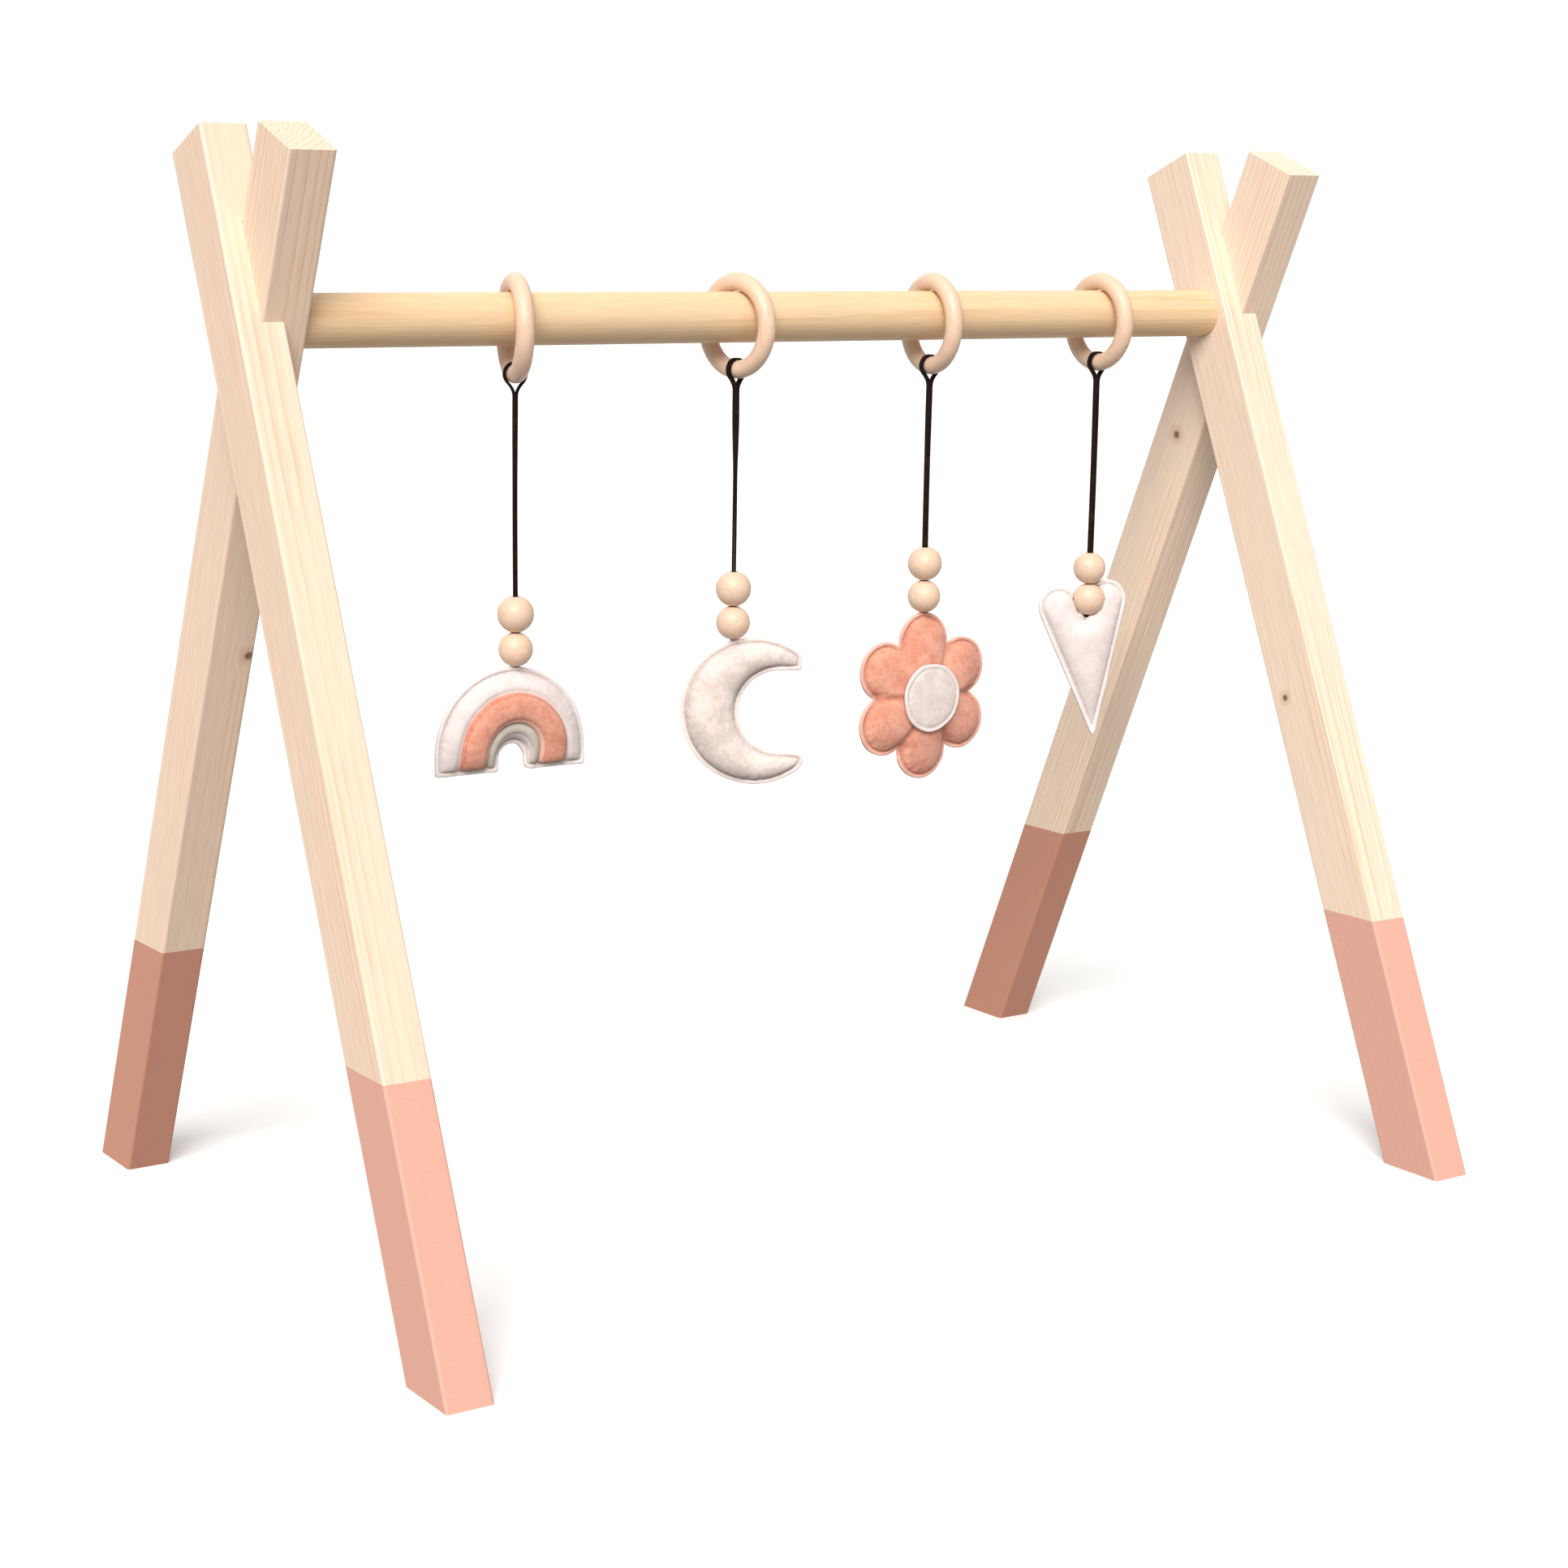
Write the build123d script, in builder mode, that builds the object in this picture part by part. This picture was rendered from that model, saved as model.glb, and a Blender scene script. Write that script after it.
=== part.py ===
"""Activity play gym: two crossed-leg frames, a round crossbar and four felt toys on suede laces.

Millimetres, +Z up. The origin is on the floor at the middle of the gym. +X runs along the crossbar
from the left frame to the right one, and -Y is the front.
"""

import math
import os

from build123d import *

os.makedirs("parts", exist_ok=True)

# Frames: each has two square-edged pine legs, half-lapped where they cross.
LEG_WIDTH = 26.0
LEG_DEPTH = 38.0
LEG_LEAN = 22.7
LEG_EDGE_RADIUS = 1.6
ALONG_LEG = 0.999
CROSSING_HEIGHT = 495.0
LEG_ABOVE_CROSSING = 97.0
LAP_DEPTH = 13.0
FRAME_WIDTH = 2 * LEG_WIDTH - LAP_DEPTH
BAR_LENGTH = 618.0
GYM_LENGTH = BAR_LENGTH + 2 * FRAME_WIDTH

# Crossbar and its hidden fixings: a hanger bolt in each frame and a threaded insert in each bar end.
BAR_RADIUS = 14.0
BAR_EDGE = 0.8
STUD_RADIUS = 3.0
STUD_IN_LEG = 22.0
STUD_IN_BAR = 18.0
STUD_POINT = 4.0
STUD_CHAMFER = 0.8
INSERT_RADIUS = 5.0
INSERT_LENGTH = 15.0
INSERT_CHAMFER = 0.6
STUD_HOLE_DEPTH = STUD_IN_BAR + 3.0
HOLE_CLEARANCE = 0.05

# Rings, beads and laces.
RING_MEAN_RADIUS = 24.0
RING_TUBE_RADIUS = 5.0
RUNNING_GAP = 0.3
RING_DROP = RING_MEAN_RADIUS - RING_TUBE_RADIUS - BAR_RADIUS - RUNNING_GAP
RING_HEIGHT = CROSSING_HEIGHT - RING_DROP
TUBE_HEIGHT = RING_HEIGHT - RING_MEAN_RADIUS
BEAD_HOLE_RADIUS = 2.5
BEAD_HOLE_EDGE = 0.4
LACE_WIDTH = 3.5
LACE_THICKNESS = 1.2
STRAND_SPACING = 1.3
LOOP_RADIUS = RING_TUBE_RADIUS + RUNNING_GAP + LACE_THICKNESS / 2
LOOP_CORNERS = 4
LOOP_FILLET = LOOP_RADIUS - 0.1
FORK_DROP = 10.5
FORK_FILLET = 9.0
LOOP_TAIL = 15.0
LACE_BEND_GAP = 0.6

# Felt toys: two felt faces sewn edge to edge with a flat seam flange, round a soft filling.
FELT = 1.2
SEAM = 3.0
SHOULDER = 4.0
SHOULDER_SHARE = 0.6
DOME_STEPS = ((SEAM, SHOULDER_SHARE), (SEAM + SHOULDER, 1.0))
APPLIQUE = 1.0

RAINBOW_RADIUS = 46.2
RAINBOW_LEG = 10.5
RAINBOW_CORAL_RADIUS = 33.0
RAINBOW_INNER_RADIUS = 16.5
RAINBOW_OPENING_RADIUS = 8.0
RAINBOW_OPENING_HEIGHT = 15.0
RAINBOW_BAND_INNER_RADIUS = 12.0
BAND_GAP = 0.2

MOON_RADIUS = 42.0
MOON_HOLLOW_RADIUS = 23.4
MOON_HOLLOW_SHIFT = 14.25
MOON_HORN_CUT = 26.8
MOON_HORN_FILLET = 2.0

FLOWER_PETALS = 6
PETAL_RADIUS = 17.6
PETAL_DISTANCE = 32.0
FLOWER_CORE_RADIUS = 30.0
FLOWER_DISC_RADIUS = 20.2

HEART_LOBE_RADIUS = 12.5
HEART_LOBE_SIDE = 15.5
HEART_LOBE_RISE = 8.0
HEART_TIP_DROP = 77.0
HEART_TIP_FILLET = 2.2
BEAD_SEAT_GAP = 0.4

# One entry per hanger: its place along the bar, the ring's turn about the vertical, the height of the
# toy's seam where the lace enters it, the bead radii, the toy's half thickness, its turn towards the
# left, its roll, and how far the outline's own origin is from the place where the lace enters.
HANGERS = {
    "rainbow": dict(
        x=-179.3,
        ring_turn=-17.0,
        toy_top=310.2,
        lower_bead=9.4,
        upper_bead=10.0,
        puff=9.0,
        turn=0.0,
        roll=0.0,
        shift=(-3.4, -RAINBOW_RADIUS),
    ),
    "moon": dict(
        x=-37.8,
        ring_turn=9.0,
        toy_top=315.5,
        lower_bead=9.6,
        upper_bead=10.0,
        puff=11.0,
        turn=32.0,
        roll=0.0,
        shift=(12.7, -40.8),
    ),
    "flower": dict(
        x=98.0,
        ring_turn=-5.0,
        toy_top=322.6,
        lower_bead=9.6,
        upper_bead=10.0,
        puff=10.0,
        turn=0.0,
        roll=0.0,
        shift=(0.0, -PETAL_DISTANCE - PETAL_RADIUS),
    ),
    "heart": dict(
        x=225.4,
        ring_turn=-1.5,
        toy_top=313.2,
        lower_bead=9.7,
        upper_bead=9.8,
        puff=9.0,
        turn=20.0,
        roll=7.0,
        shift=(-3.0, -0.7),
    ),
}


def save(name, part):
    """Label one finished piece and write it under its own name."""
    part.label = name
    export_step(part, f"parts/{name}.step")


def bead_half_height(radius):
    """Half the length of a bead between the rims of its hole."""
    return math.sqrt(radius**2 - BEAD_HOLE_RADIUS**2)


# ---------------------------------------------------------------- frames and crossbar


def leg_outline(lean_side):
    """Side view of a leg in the YZ plane: level foot cut, square top cut. lean_side is +1 to the back."""
    lean = math.radians(LEG_LEAN)
    along = Vector(lean_side * math.sin(lean), math.cos(lean))
    across = Vector(-math.cos(lean), lean_side * math.sin(lean)) * (LEG_DEPTH / 2)
    centre = Vector(0, CROSSING_HEIGHT)
    faces = [centre + across, centre - across]
    top = [point + along * LEG_ABOVE_CROSSING for point in faces]
    foot = [point - along * (point.Y / along.Y) for point in faces]
    Polygon(foot[0], foot[1], top[1], top[0], align=None)


def make_leg(lean_side, low_x):
    """One leg with its four long edges rounded."""
    lean = math.radians(LEG_LEAN)
    along = Vector(0, lean_side * math.sin(lean), math.cos(lean))
    with BuildPart() as leg:
        with BuildSketch(Plane.YZ.offset(low_x)):
            leg_outline(lean_side)
        extrude(amount=LEG_WIDTH)
        long_edges = leg.edges().filter_by(lambda edge: abs(edge.tangent_at(0).dot(along)) > ALONG_LEG)
        fillet(long_edges, radius=LEG_EDGE_RADIUS)
    return leg


def bore_leg(leg, mouth_x, into, depth):
    """Hole for the hanger bolt, from mouth_x along X; into is +1 or -1."""
    with BuildPart() as bored:
        add(leg.part)
        with BuildSketch(Plane.YZ.offset(mouth_x)):
            with Locations((0, CROSSING_HEIGHT)):
                Circle(STUD_RADIUS + HOLE_CLEARANCE)
        extrude(amount=into * depth, mode=Mode.SUBTRACT)
    return bored


def make_frame(side, low_x):
    """Front-footed leg with the lap cut into it, and the back-footed leg that sits in the lap."""
    front = make_leg(1, low_x)
    back_low_x = low_x + LEG_WIDTH - LAP_DEPTH
    with BuildPart() as front_leg:
        add(front.part)
        with BuildSketch(Plane.YZ.offset(back_low_x)):
            leg_outline(-1)
        extrude(amount=LEG_WIDTH, mode=Mode.SUBTRACT)
    back_leg = make_leg(-1, back_low_x)
    if side == "left":
        back_leg = bore_leg(back_leg, back_low_x + LEG_WIDTH, -1, STUD_IN_LEG)
    else:
        front_leg = bore_leg(front_leg, low_x, 1, LEG_WIDTH)
        rest = STUD_IN_LEG - (LEG_WIDTH - LAP_DEPTH)
        back_leg = bore_leg(back_leg, back_low_x, 1, rest)
    save(f"{side}_front_leg", front_leg.part)
    save(f"{side}_back_leg", back_leg.part)


make_frame("left", -GYM_LENGTH / 2)
make_frame("right", GYM_LENGTH / 2 - FRAME_WIDTH)

with BuildPart() as crossbar:
    with BuildSketch(Plane.YZ.offset(-BAR_LENGTH / 2)):
        with Locations((0, CROSSING_HEIGHT)):
            Circle(BAR_RADIUS)
    extrude(amount=BAR_LENGTH)
    chamfer(crossbar.edges().filter_by(GeomType.CIRCLE), length=BAR_EDGE)
    for end in (-1, 1):
        for radius, depth in ((INSERT_RADIUS, INSERT_LENGTH), (STUD_RADIUS, STUD_HOLE_DEPTH)):
            with BuildSketch(Plane.YZ.offset(end * BAR_LENGTH / 2)):
                with Locations((0, CROSSING_HEIGHT)):
                    Circle(radius + HOLE_CLEARANCE)
            extrude(amount=-end * depth, mode=Mode.SUBTRACT)
save("crossbar", crossbar.part)


def make_insert(side, end):
    """Threaded insert, flush with the bar's end."""
    with BuildPart() as insert:
        with BuildSketch(Plane.YZ.offset(end * BAR_LENGTH / 2)):
            with Locations((0, CROSSING_HEIGHT)):
                Circle(INSERT_RADIUS)
                Circle(STUD_RADIUS + HOLE_CLEARANCE, mode=Mode.SUBTRACT)
        extrude(amount=-end * INSERT_LENGTH)
        outer = insert.edges().filter_by(GeomType.CIRCLE).sort_by(SortBy.RADIUS)[-2:]
        chamfer(outer, length=INSERT_CHAMFER)
    save(f"{side}_insert", insert.part)


def make_stud(side, end):
    """Hanger bolt: a pointed wood-thread end in the leg and a machine-thread end in the insert."""
    with BuildPart() as stud:
        with BuildSketch(Plane.XZ):
            with BuildLine():
                Polyline(
                    (-STUD_IN_BAR, 0),
                    (-STUD_IN_BAR, STUD_RADIUS - STUD_CHAMFER),
                    (-STUD_IN_BAR + STUD_CHAMFER, STUD_RADIUS),
                    (STUD_IN_LEG - STUD_POINT, STUD_RADIUS),
                    (STUD_IN_LEG, 0),
                    close=True,
                )
            make_face()
        revolve(axis=Axis.X)
    turned = stud.part if end > 0 else stud.part.mirror(Plane.YZ)
    placed = turned.moved(Location((end * BAR_LENGTH / 2, 0, CROSSING_HEIGHT)))
    save(f"{side}_stud", placed)


for side_name, side_end in (("left", -1), ("right", 1)):
    make_insert(side_name, side_end)
    make_stud(side_name, side_end)


# ---------------------------------------------------------------- ring, beads and lace


def make_ring(name, hanger):
    turn = math.radians(hanger["ring_turn"])
    normal = (math.cos(turn), math.sin(turn), 0)
    ring_plane = Plane(origin=(hanger["x"], 0, RING_HEIGHT), x_dir=(0, 0, 1), z_dir=normal)
    with BuildPart() as ring:
        with Locations(ring_plane.location):
            Torus(RING_MEAN_RADIUS, RING_TUBE_RADIUS)
    save(f"{name}_ring", ring.part)


def make_bead(name, hanger, radius, height):
    with BuildPart() as bead:
        with Locations((hanger["x"], 0, height)):
            Sphere(radius)
            Cylinder(BEAD_HOLE_RADIUS, 2 * radius, mode=Mode.SUBTRACT)
        chamfer(bead.edges().filter_by(GeomType.CIRCLE), length=BEAD_HOLE_EDGE)
    save(name, bead.part)


def loop_route():
    """Centre line of the folded lace round the ring's tube, seen along the tube, from the tube's centre.

    It rises beside the lace's other half, forks, wraps the tube and comes back down. The lace's ends are
    rounded, so the line stops short of them by the lace's half thickness."""
    fork_angle = math.asin(LOOP_RADIUS / FORK_DROP)
    wrap = math.pi + 2 * fork_angle
    step = wrap / LOOP_CORNERS
    corner_radius = LOOP_RADIUS / math.cos(step / 2)
    first = math.pi + fork_angle - step / 2
    corners = [first - step * number for number in range(LOOP_CORNERS)]
    wrapped = [(corner_radius * math.cos(angle), corner_radius * math.sin(angle)) for angle in corners]
    half = STRAND_SPACING / 2
    line_end = LACE_THICKNESS / 2 - LOOP_TAIL
    rise = [(-half, line_end), (-half, -FORK_DROP)]
    fall = [(half, -FORK_DROP), (half, line_end)]
    return rise + wrapped + fall


def lace_plane(hanger, height):
    """Plane across the ring's tube: local X is the ring's normal and local Y is up."""
    turn = math.radians(hanger["ring_turn"])
    return Plane(
        origin=(hanger["x"], 0, height),
        x_dir=(math.cos(turn), math.sin(turn), 0),
        z_dir=(math.sin(turn), -math.cos(turn), 0),
    )


def make_lace(name, hanger):
    """The folded lace, as its loop round the ring and the two halves that hang from it."""
    radii = [FORK_FILLET] + [LOOP_FILLET] * LOOP_CORNERS + [FORK_FILLET]
    with BuildPart() as loop:
        with BuildSketch(lace_plane(hanger, TUBE_HEIGHT)):
            with BuildLine() as centre_line:
                FilletPolyline(*loop_route(), radius=radii)
                loop_length = sum(edge.length for edge in centre_line.edges())
                offset(amount=LACE_THICKNESS / 2, side=Side.BOTH)
            make_face()
        extrude(amount=LACE_WIDTH / 2, both=True)
    strand_top = TUBE_HEIGHT - LOOP_TAIL - LACE_BEND_GAP
    strand_foot = hanger["toy_top"] + RUNNING_GAP
    with BuildPart() as strands:
        with BuildSketch(lace_plane(hanger, strand_foot)):
            with Locations((-STRAND_SPACING / 2, 0), (STRAND_SPACING / 2, 0)):
                Rectangle(LACE_THICKNESS, strand_top - strand_foot, align=(Align.CENTER, Align.MIN))
        extrude(amount=LACE_WIDTH / 2, both=True)
    section = LACE_WIDTH * LACE_THICKNESS
    whole = loop_length + LACE_THICKNESS + 2 * (LACE_BEND_GAP + strand_top - strand_foot)
    print(name, "lace: length", round(whole, 1), "radii", [round(r, 1) for r in radii])
    print("  loop volume", round(loop.part.volume, 1), "section times length", round(section * loop_length, 1))
    save(f"{name}_lace_loop", loop.part)
    save(f"{name}_lace_strands", strands.part)


# ---------------------------------------------------------------- toy outlines


def horseshoe(radius, leg, base):
    """Arch outline: a half round of that radius on straight legs, down to base."""
    Circle(radius)
    with Locations((0, base)):
        Rectangle(2 * radius, leg, align=(Align.CENTER, Align.MIN))
        Rectangle(2 * radius, radius + leg, align=(Align.CENTER, Align.MIN), mode=Mode.INTERSECT)


def draw_rainbow():
    horseshoe(RAINBOW_RADIUS, RAINBOW_LEG, -RAINBOW_LEG)
    arch_centre = RAINBOW_OPENING_HEIGHT - RAINBOW_OPENING_RADIUS - RAINBOW_LEG
    with Locations((0, arch_centre)):
        Circle(RAINBOW_OPENING_RADIUS, mode=Mode.SUBTRACT)
    with Locations((0, -RAINBOW_LEG)):
        Rectangle(
            2 * RAINBOW_OPENING_RADIUS,
            RAINBOW_OPENING_HEIGHT - RAINBOW_OPENING_RADIUS,
            align=(Align.CENTER, Align.MIN),
            mode=Mode.SUBTRACT,
        )


def draw_moon():
    Circle(MOON_RADIUS)
    with Locations((MOON_HOLLOW_SHIFT, 0)):
        Circle(MOON_HOLLOW_RADIUS, mode=Mode.SUBTRACT)
        Rectangle(
            MOON_RADIUS,
            2 * MOON_HOLLOW_RADIUS,
            align=(Align.MIN, Align.CENTER),
            mode=Mode.SUBTRACT,
        )
    with Locations((MOON_HORN_CUT, 0)):
        Rectangle(
            MOON_RADIUS,
            2 * MOON_RADIUS,
            align=(Align.MIN, Align.CENTER),
            mode=Mode.SUBTRACT,
        )


def draw_flower():
    Circle(FLOWER_CORE_RADIUS)
    with PolarLocations(PETAL_DISTANCE, FLOWER_PETALS, start_angle=90):
        Circle(PETAL_RADIUS)


def tangent_point(centre, radius, point, side):
    """Where the line from point touches a circle; side picks one of the two tangents."""
    away = point - centre
    angle = math.atan2(away.Y, away.X) + side * math.acos(radius / away.length)
    return centre + Vector(math.cos(angle), math.sin(angle)) * radius


def draw_heart():
    notch = Vector(0, 0)
    tip = Vector(0, -HEART_TIP_DROP)
    lobe = Vector(HEART_LOBE_SIDE, HEART_LOBE_RISE)
    inner = tangent_point(lobe, HEART_LOBE_RADIUS, notch, -1)
    outer = tangent_point(lobe, HEART_LOBE_RADIUS, tip, 1)
    peak = lobe + Vector(0, HEART_LOBE_RADIUS)
    with BuildLine() as half:
        Line(notch, inner)
        ThreePointArc(inner, peak, outer)
        Line(outer, tip)
        mirror(about=Plane.YZ)
    make_face(half.edges())


def toy_plane(hanger):
    """The seam plane of a toy: local X to its right, local Y up, local Z out of its front."""
    turn = math.radians(hanger["turn"])
    right = Vector(math.cos(turn), -math.sin(turn), 0)
    across, rise = hanger["shift"]
    origin = Vector(hanger["x"], 0, hanger["toy_top"] + rise) + right * across
    front = Vector(-math.sin(turn), -math.cos(turn), 0)
    return Plane(origin=origin, x_dir=right, z_dir=front).rotated((0, 0, hanger["roll"]))


OUTLINES = {
    "rainbow": draw_rainbow,
    "moon": draw_moon,
    "flower": draw_flower,
    "heart": draw_heart,
}


def soften(name, profile):
    """Round the outline's sharp outer corners, as scissors and a stitched seam leave them."""
    if name == "moon":
        fillet(profile.vertices().group_by(Axis.X)[-1], radius=MOON_HORN_FILLET)
    if name == "heart":
        fillet(profile.vertices().sort_by(Axis.Y)[0], radius=HEART_TIP_FILLET)


def extrude_outline(name, plane, inset, amount, mode=Mode.ADD):
    """Extrude a toy's outline, drawn in by inset, from the seam plane."""
    with BuildSketch(Plane.XY) as profile:
        OUTLINES[name]()
        soften(name, profile)
        if inset:
            offset(amount=-inset, mode=Mode.REPLACE)
    placed = plane.location * profile.sketch
    extrude(to_extrude=placed.faces(), amount=amount, mode=mode)


def raise_dome(name, plane, puff, wall, mode=Mode.ADD):
    """The swell of a toy's face in steps; wall is how far inside the outer surface it is."""
    for inset, share in DOME_STEPS:
        extrude_outline(name, plane, inset + wall, share * puff - wall, mode)


def bead_seat(hanger):
    """Clear the lower bead's place, where the outline rises beside it."""
    radius = hanger["lower_bead"] + BEAD_SEAT_GAP
    height = hanger["toy_top"] + RUNNING_GAP + bead_half_height(hanger["lower_bead"])
    with Locations((hanger["x"], 0, height)):
        Sphere(radius, mode=Mode.SUBTRACT)
        Cylinder(
            radius,
            2 * HEART_LOBE_RADIUS,
            align=(Align.CENTER, Align.CENTER, Align.MIN),
            mode=Mode.SUBTRACT,
        )


def make_toy(name, hanger):
    """Front felt, back felt and filling of one toy."""
    plane = toy_plane(hanger)
    puff = hanger["puff"]
    with BuildPart() as front:
        extrude_outline(name, plane, 0, FELT)
        raise_dome(name, plane, puff, 0)
        raise_dome(name, plane, puff, FELT, Mode.SUBTRACT)
        if name == "heart":
            bead_seat(hanger)
    with BuildPart() as back:
        mirror(front.part, about=plane)
        if name == "heart":
            bead_seat(hanger)
    with BuildPart() as filling:
        raise_dome(name, plane, puff, FELT)
        mirror(about=plane)
        if name == "heart":
            bead_seat(hanger)
    save(f"{name}_front_felt", front.part)
    save(f"{name}_back_felt", back.part)
    save(f"{name}_filling", filling.part)


def make_applique(name, hanger, outer_radius, inner_radius, leg):
    """Felt piece sewn flat on a toy's front: a disc, or an arch where it has legs."""
    front = toy_plane(hanger).offset(hanger["puff"])
    with BuildPart() as applique:
        with BuildSketch(front):
            if leg:
                horseshoe(outer_radius, leg, -leg)
                Circle(inner_radius, mode=Mode.SUBTRACT)
                with Locations((0, -leg)):
                    Rectangle(2 * inner_radius, leg, align=(Align.CENTER, Align.MIN), mode=Mode.SUBTRACT)
            else:
                Circle(outer_radius)
        extrude(amount=APPLIQUE)
    save(name, applique.part)


for hanger_name, hanger_data in HANGERS.items():
    make_ring(hanger_name, hanger_data)
    make_lace(hanger_name, hanger_data)
    lower_radius = hanger_data["lower_bead"]
    upper_radius = hanger_data["upper_bead"]
    lower_height = hanger_data["toy_top"] + RUNNING_GAP + bead_half_height(lower_radius)
    upper_height = lower_height + bead_half_height(lower_radius) + RUNNING_GAP + bead_half_height(upper_radius)
    make_bead(f"{hanger_name}_lower_bead", hanger_data, lower_radius, lower_height)
    make_bead(f"{hanger_name}_upper_bead", hanger_data, upper_radius, upper_height)
    make_toy(hanger_name, hanger_data)

rainbow = HANGERS["rainbow"]
band_leg = RAINBOW_LEG - SEAM - FELT
make_applique("rainbow_coral_band", rainbow, RAINBOW_CORAL_RADIUS, RAINBOW_INNER_RADIUS + BAND_GAP, band_leg)
make_applique("rainbow_inner_band", rainbow, RAINBOW_INNER_RADIUS, RAINBOW_BAND_INNER_RADIUS, band_leg)
make_applique("flower_disc", HANGERS["flower"], FLOWER_DISC_RADIUS, 0, 0)
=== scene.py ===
import math

import bpy
import numpy as np
from mathutils import Matrix, Vector, geometry
from mathutils.bvhtree import BVHTree


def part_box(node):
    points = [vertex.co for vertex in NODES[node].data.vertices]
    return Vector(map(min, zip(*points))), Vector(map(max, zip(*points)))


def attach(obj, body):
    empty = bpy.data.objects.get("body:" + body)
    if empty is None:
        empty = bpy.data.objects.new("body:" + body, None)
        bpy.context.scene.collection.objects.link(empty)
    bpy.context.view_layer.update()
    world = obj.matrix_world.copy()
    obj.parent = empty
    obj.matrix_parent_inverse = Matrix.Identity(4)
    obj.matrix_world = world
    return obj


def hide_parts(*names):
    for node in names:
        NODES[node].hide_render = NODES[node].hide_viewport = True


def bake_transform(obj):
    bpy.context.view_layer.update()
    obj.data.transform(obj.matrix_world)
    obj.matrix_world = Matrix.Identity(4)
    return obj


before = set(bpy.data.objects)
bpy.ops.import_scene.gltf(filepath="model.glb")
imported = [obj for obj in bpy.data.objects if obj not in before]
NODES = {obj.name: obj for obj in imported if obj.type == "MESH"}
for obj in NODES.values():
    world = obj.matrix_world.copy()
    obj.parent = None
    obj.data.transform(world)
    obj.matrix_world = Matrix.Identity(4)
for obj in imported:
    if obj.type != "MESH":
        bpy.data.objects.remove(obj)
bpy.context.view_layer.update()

# Looks of the activity play gym. Metres, +Z up, in the CAD model's own frame.

MM = 0.001

# ---- sizes

LEG_LEAN = math.radians(22.7)
PAINT_HEIGHT = 144 * MM

RING_TUBE = 5.0 * MM
LACE_WIDTH = 3.5 * MM
LACE_THICKNESS = 1.2 * MM
STRAND_SPACING = 1.3 * MM
LOOP_RADIUS = RING_TUBE + 0.3 * MM + LACE_THICKNESS / 2
LOOP_CORNERS = 4
FORK_DROP = 8.2 * MM
LOOP_TAIL = 15.0 * MM
LACE_INTO_TOY = 0.5 * MM
LACE_INTO_HEART = 2.0 * MM
LACE_TWIST_LENGTH = 14.0 * MM

FELT = 1.2 * MM
SEAM = 2.7 * MM
CREASE = 0.45 * MM
MESH_STEP = 1.25 * MM
SAME_PLACE = 0.05 * MM
POINT_CELL = 0.35 * MM
BULGE_LIMIT = 0.4 * MM
SEAM_RINGS = [0.5 * MM, 1.2 * MM, 1.9 * MM, 2.4 * MM, 2.7 * MM, 3.1 * MM, 3.7 * MM, 4.6 * MM, 5.7 * MM]
SIM_SCALE = 10.0
SIM_FRAMES = 20
SIM_CAP = 3.0 * MM
CLOTH = dict(
    quality=6,
    mass=0.3,
    tension_stiffness=30,
    compression_stiffness=12,
    shear_stiffness=12,
    bending_stiffness=1.5,
    use_pressure=True,
    uniform_pressure_force=4,
)

RAINBOW_RADIUS = 46.2 * MM
RAINBOW_LEG = 10.5 * MM
RAINBOW_CORAL = 33.0 * MM
RAINBOW_INNER = 16.5 * MM
OPENING_RADIUS = 8.0 * MM
OPENING_HEIGHT = 15.0 * MM
MOON_RADIUS = 42.0 * MM
MOON_HOLLOW = 23.4 * MM
MOON_SHIFT = 14.25 * MM
MOON_TOP_HORN = 26.8 * MM
MOON_LOW_HORN = 29.0 * MM
PETALS = 6
PETAL_RADIUS = 17.6 * MM
PETAL_DISTANCE = 32.0 * MM
DISC_RADIUS = 20.2 * MM
LOBE_RADIUS = 12.5 * MM
LOBE_SIDE = 15.5 * MM
LOBE_RISE = 8.0 * MM
HEART_DROP = 77.0 * MM

# Each toy: its turn towards the left and its roll in degrees, where its outline's own origin lies from
# the place where the lace enters, its swell, the lace's twist at the beads in degrees and its bow
# sideways, and how deep the seam puckers. Lengths here are in millimetres.
TOYS = {
    "rainbow": dict(turn=0, roll=0, shift=(-3.4, -46.2), puff=9.0, twist=-25, bow=-0.35, pucker=0.55),
    "moon": dict(turn=32, roll=0, shift=(12.7, -40.8), puff=11.0, twist=-33, bow=0.25, pucker=0.8),
    "flower": dict(turn=0, roll=0, shift=(0, -49.6), puff=10.0, twist=-14, bow=-0.4, pucker=0.75),
    "heart": dict(turn=20, roll=7, shift=(-3.0, -0.7), puff=9.0, twist=-8, bow=0.4, pucker=0.4),
}
RING_TURNS = {"rainbow": -17.0, "moon": 9.0, "flower": -5.0, "heart": -1.5}

# ---- material helpers


def start(name, roughness, **sockets):
    """A new Principled material, with its uniform values set on the shader's own sockets."""
    material = bpy.data.materials.new(name)
    material.use_nodes = True
    tree = material.node_tree
    shader = tree.nodes["Principled BSDF"]
    shader.inputs["Roughness"].default_value = roughness
    for socket, value in sockets.items():
        shader.inputs[socket.replace("_", " ")].default_value = value
    return material, tree, shader


def add(tree, kind, inputs=None, **settings):
    made = tree.nodes.new("ShaderNode" + kind)
    for key, value in settings.items():
        setattr(made, key, value)
    for key, value in (inputs or {}).items():
        if isinstance(value, bpy.types.NodeSocket):
            tree.links.new(value, made.inputs[key])
        else:
            made.inputs[key].default_value = value
    return made


def mix(tree, factor, first, second, blend="MIX"):
    inputs = {0: factor, 6: first, 7: second}
    return add(tree, "Mix", inputs, data_type="RGBA", blend_type=blend).outputs[2]


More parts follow.
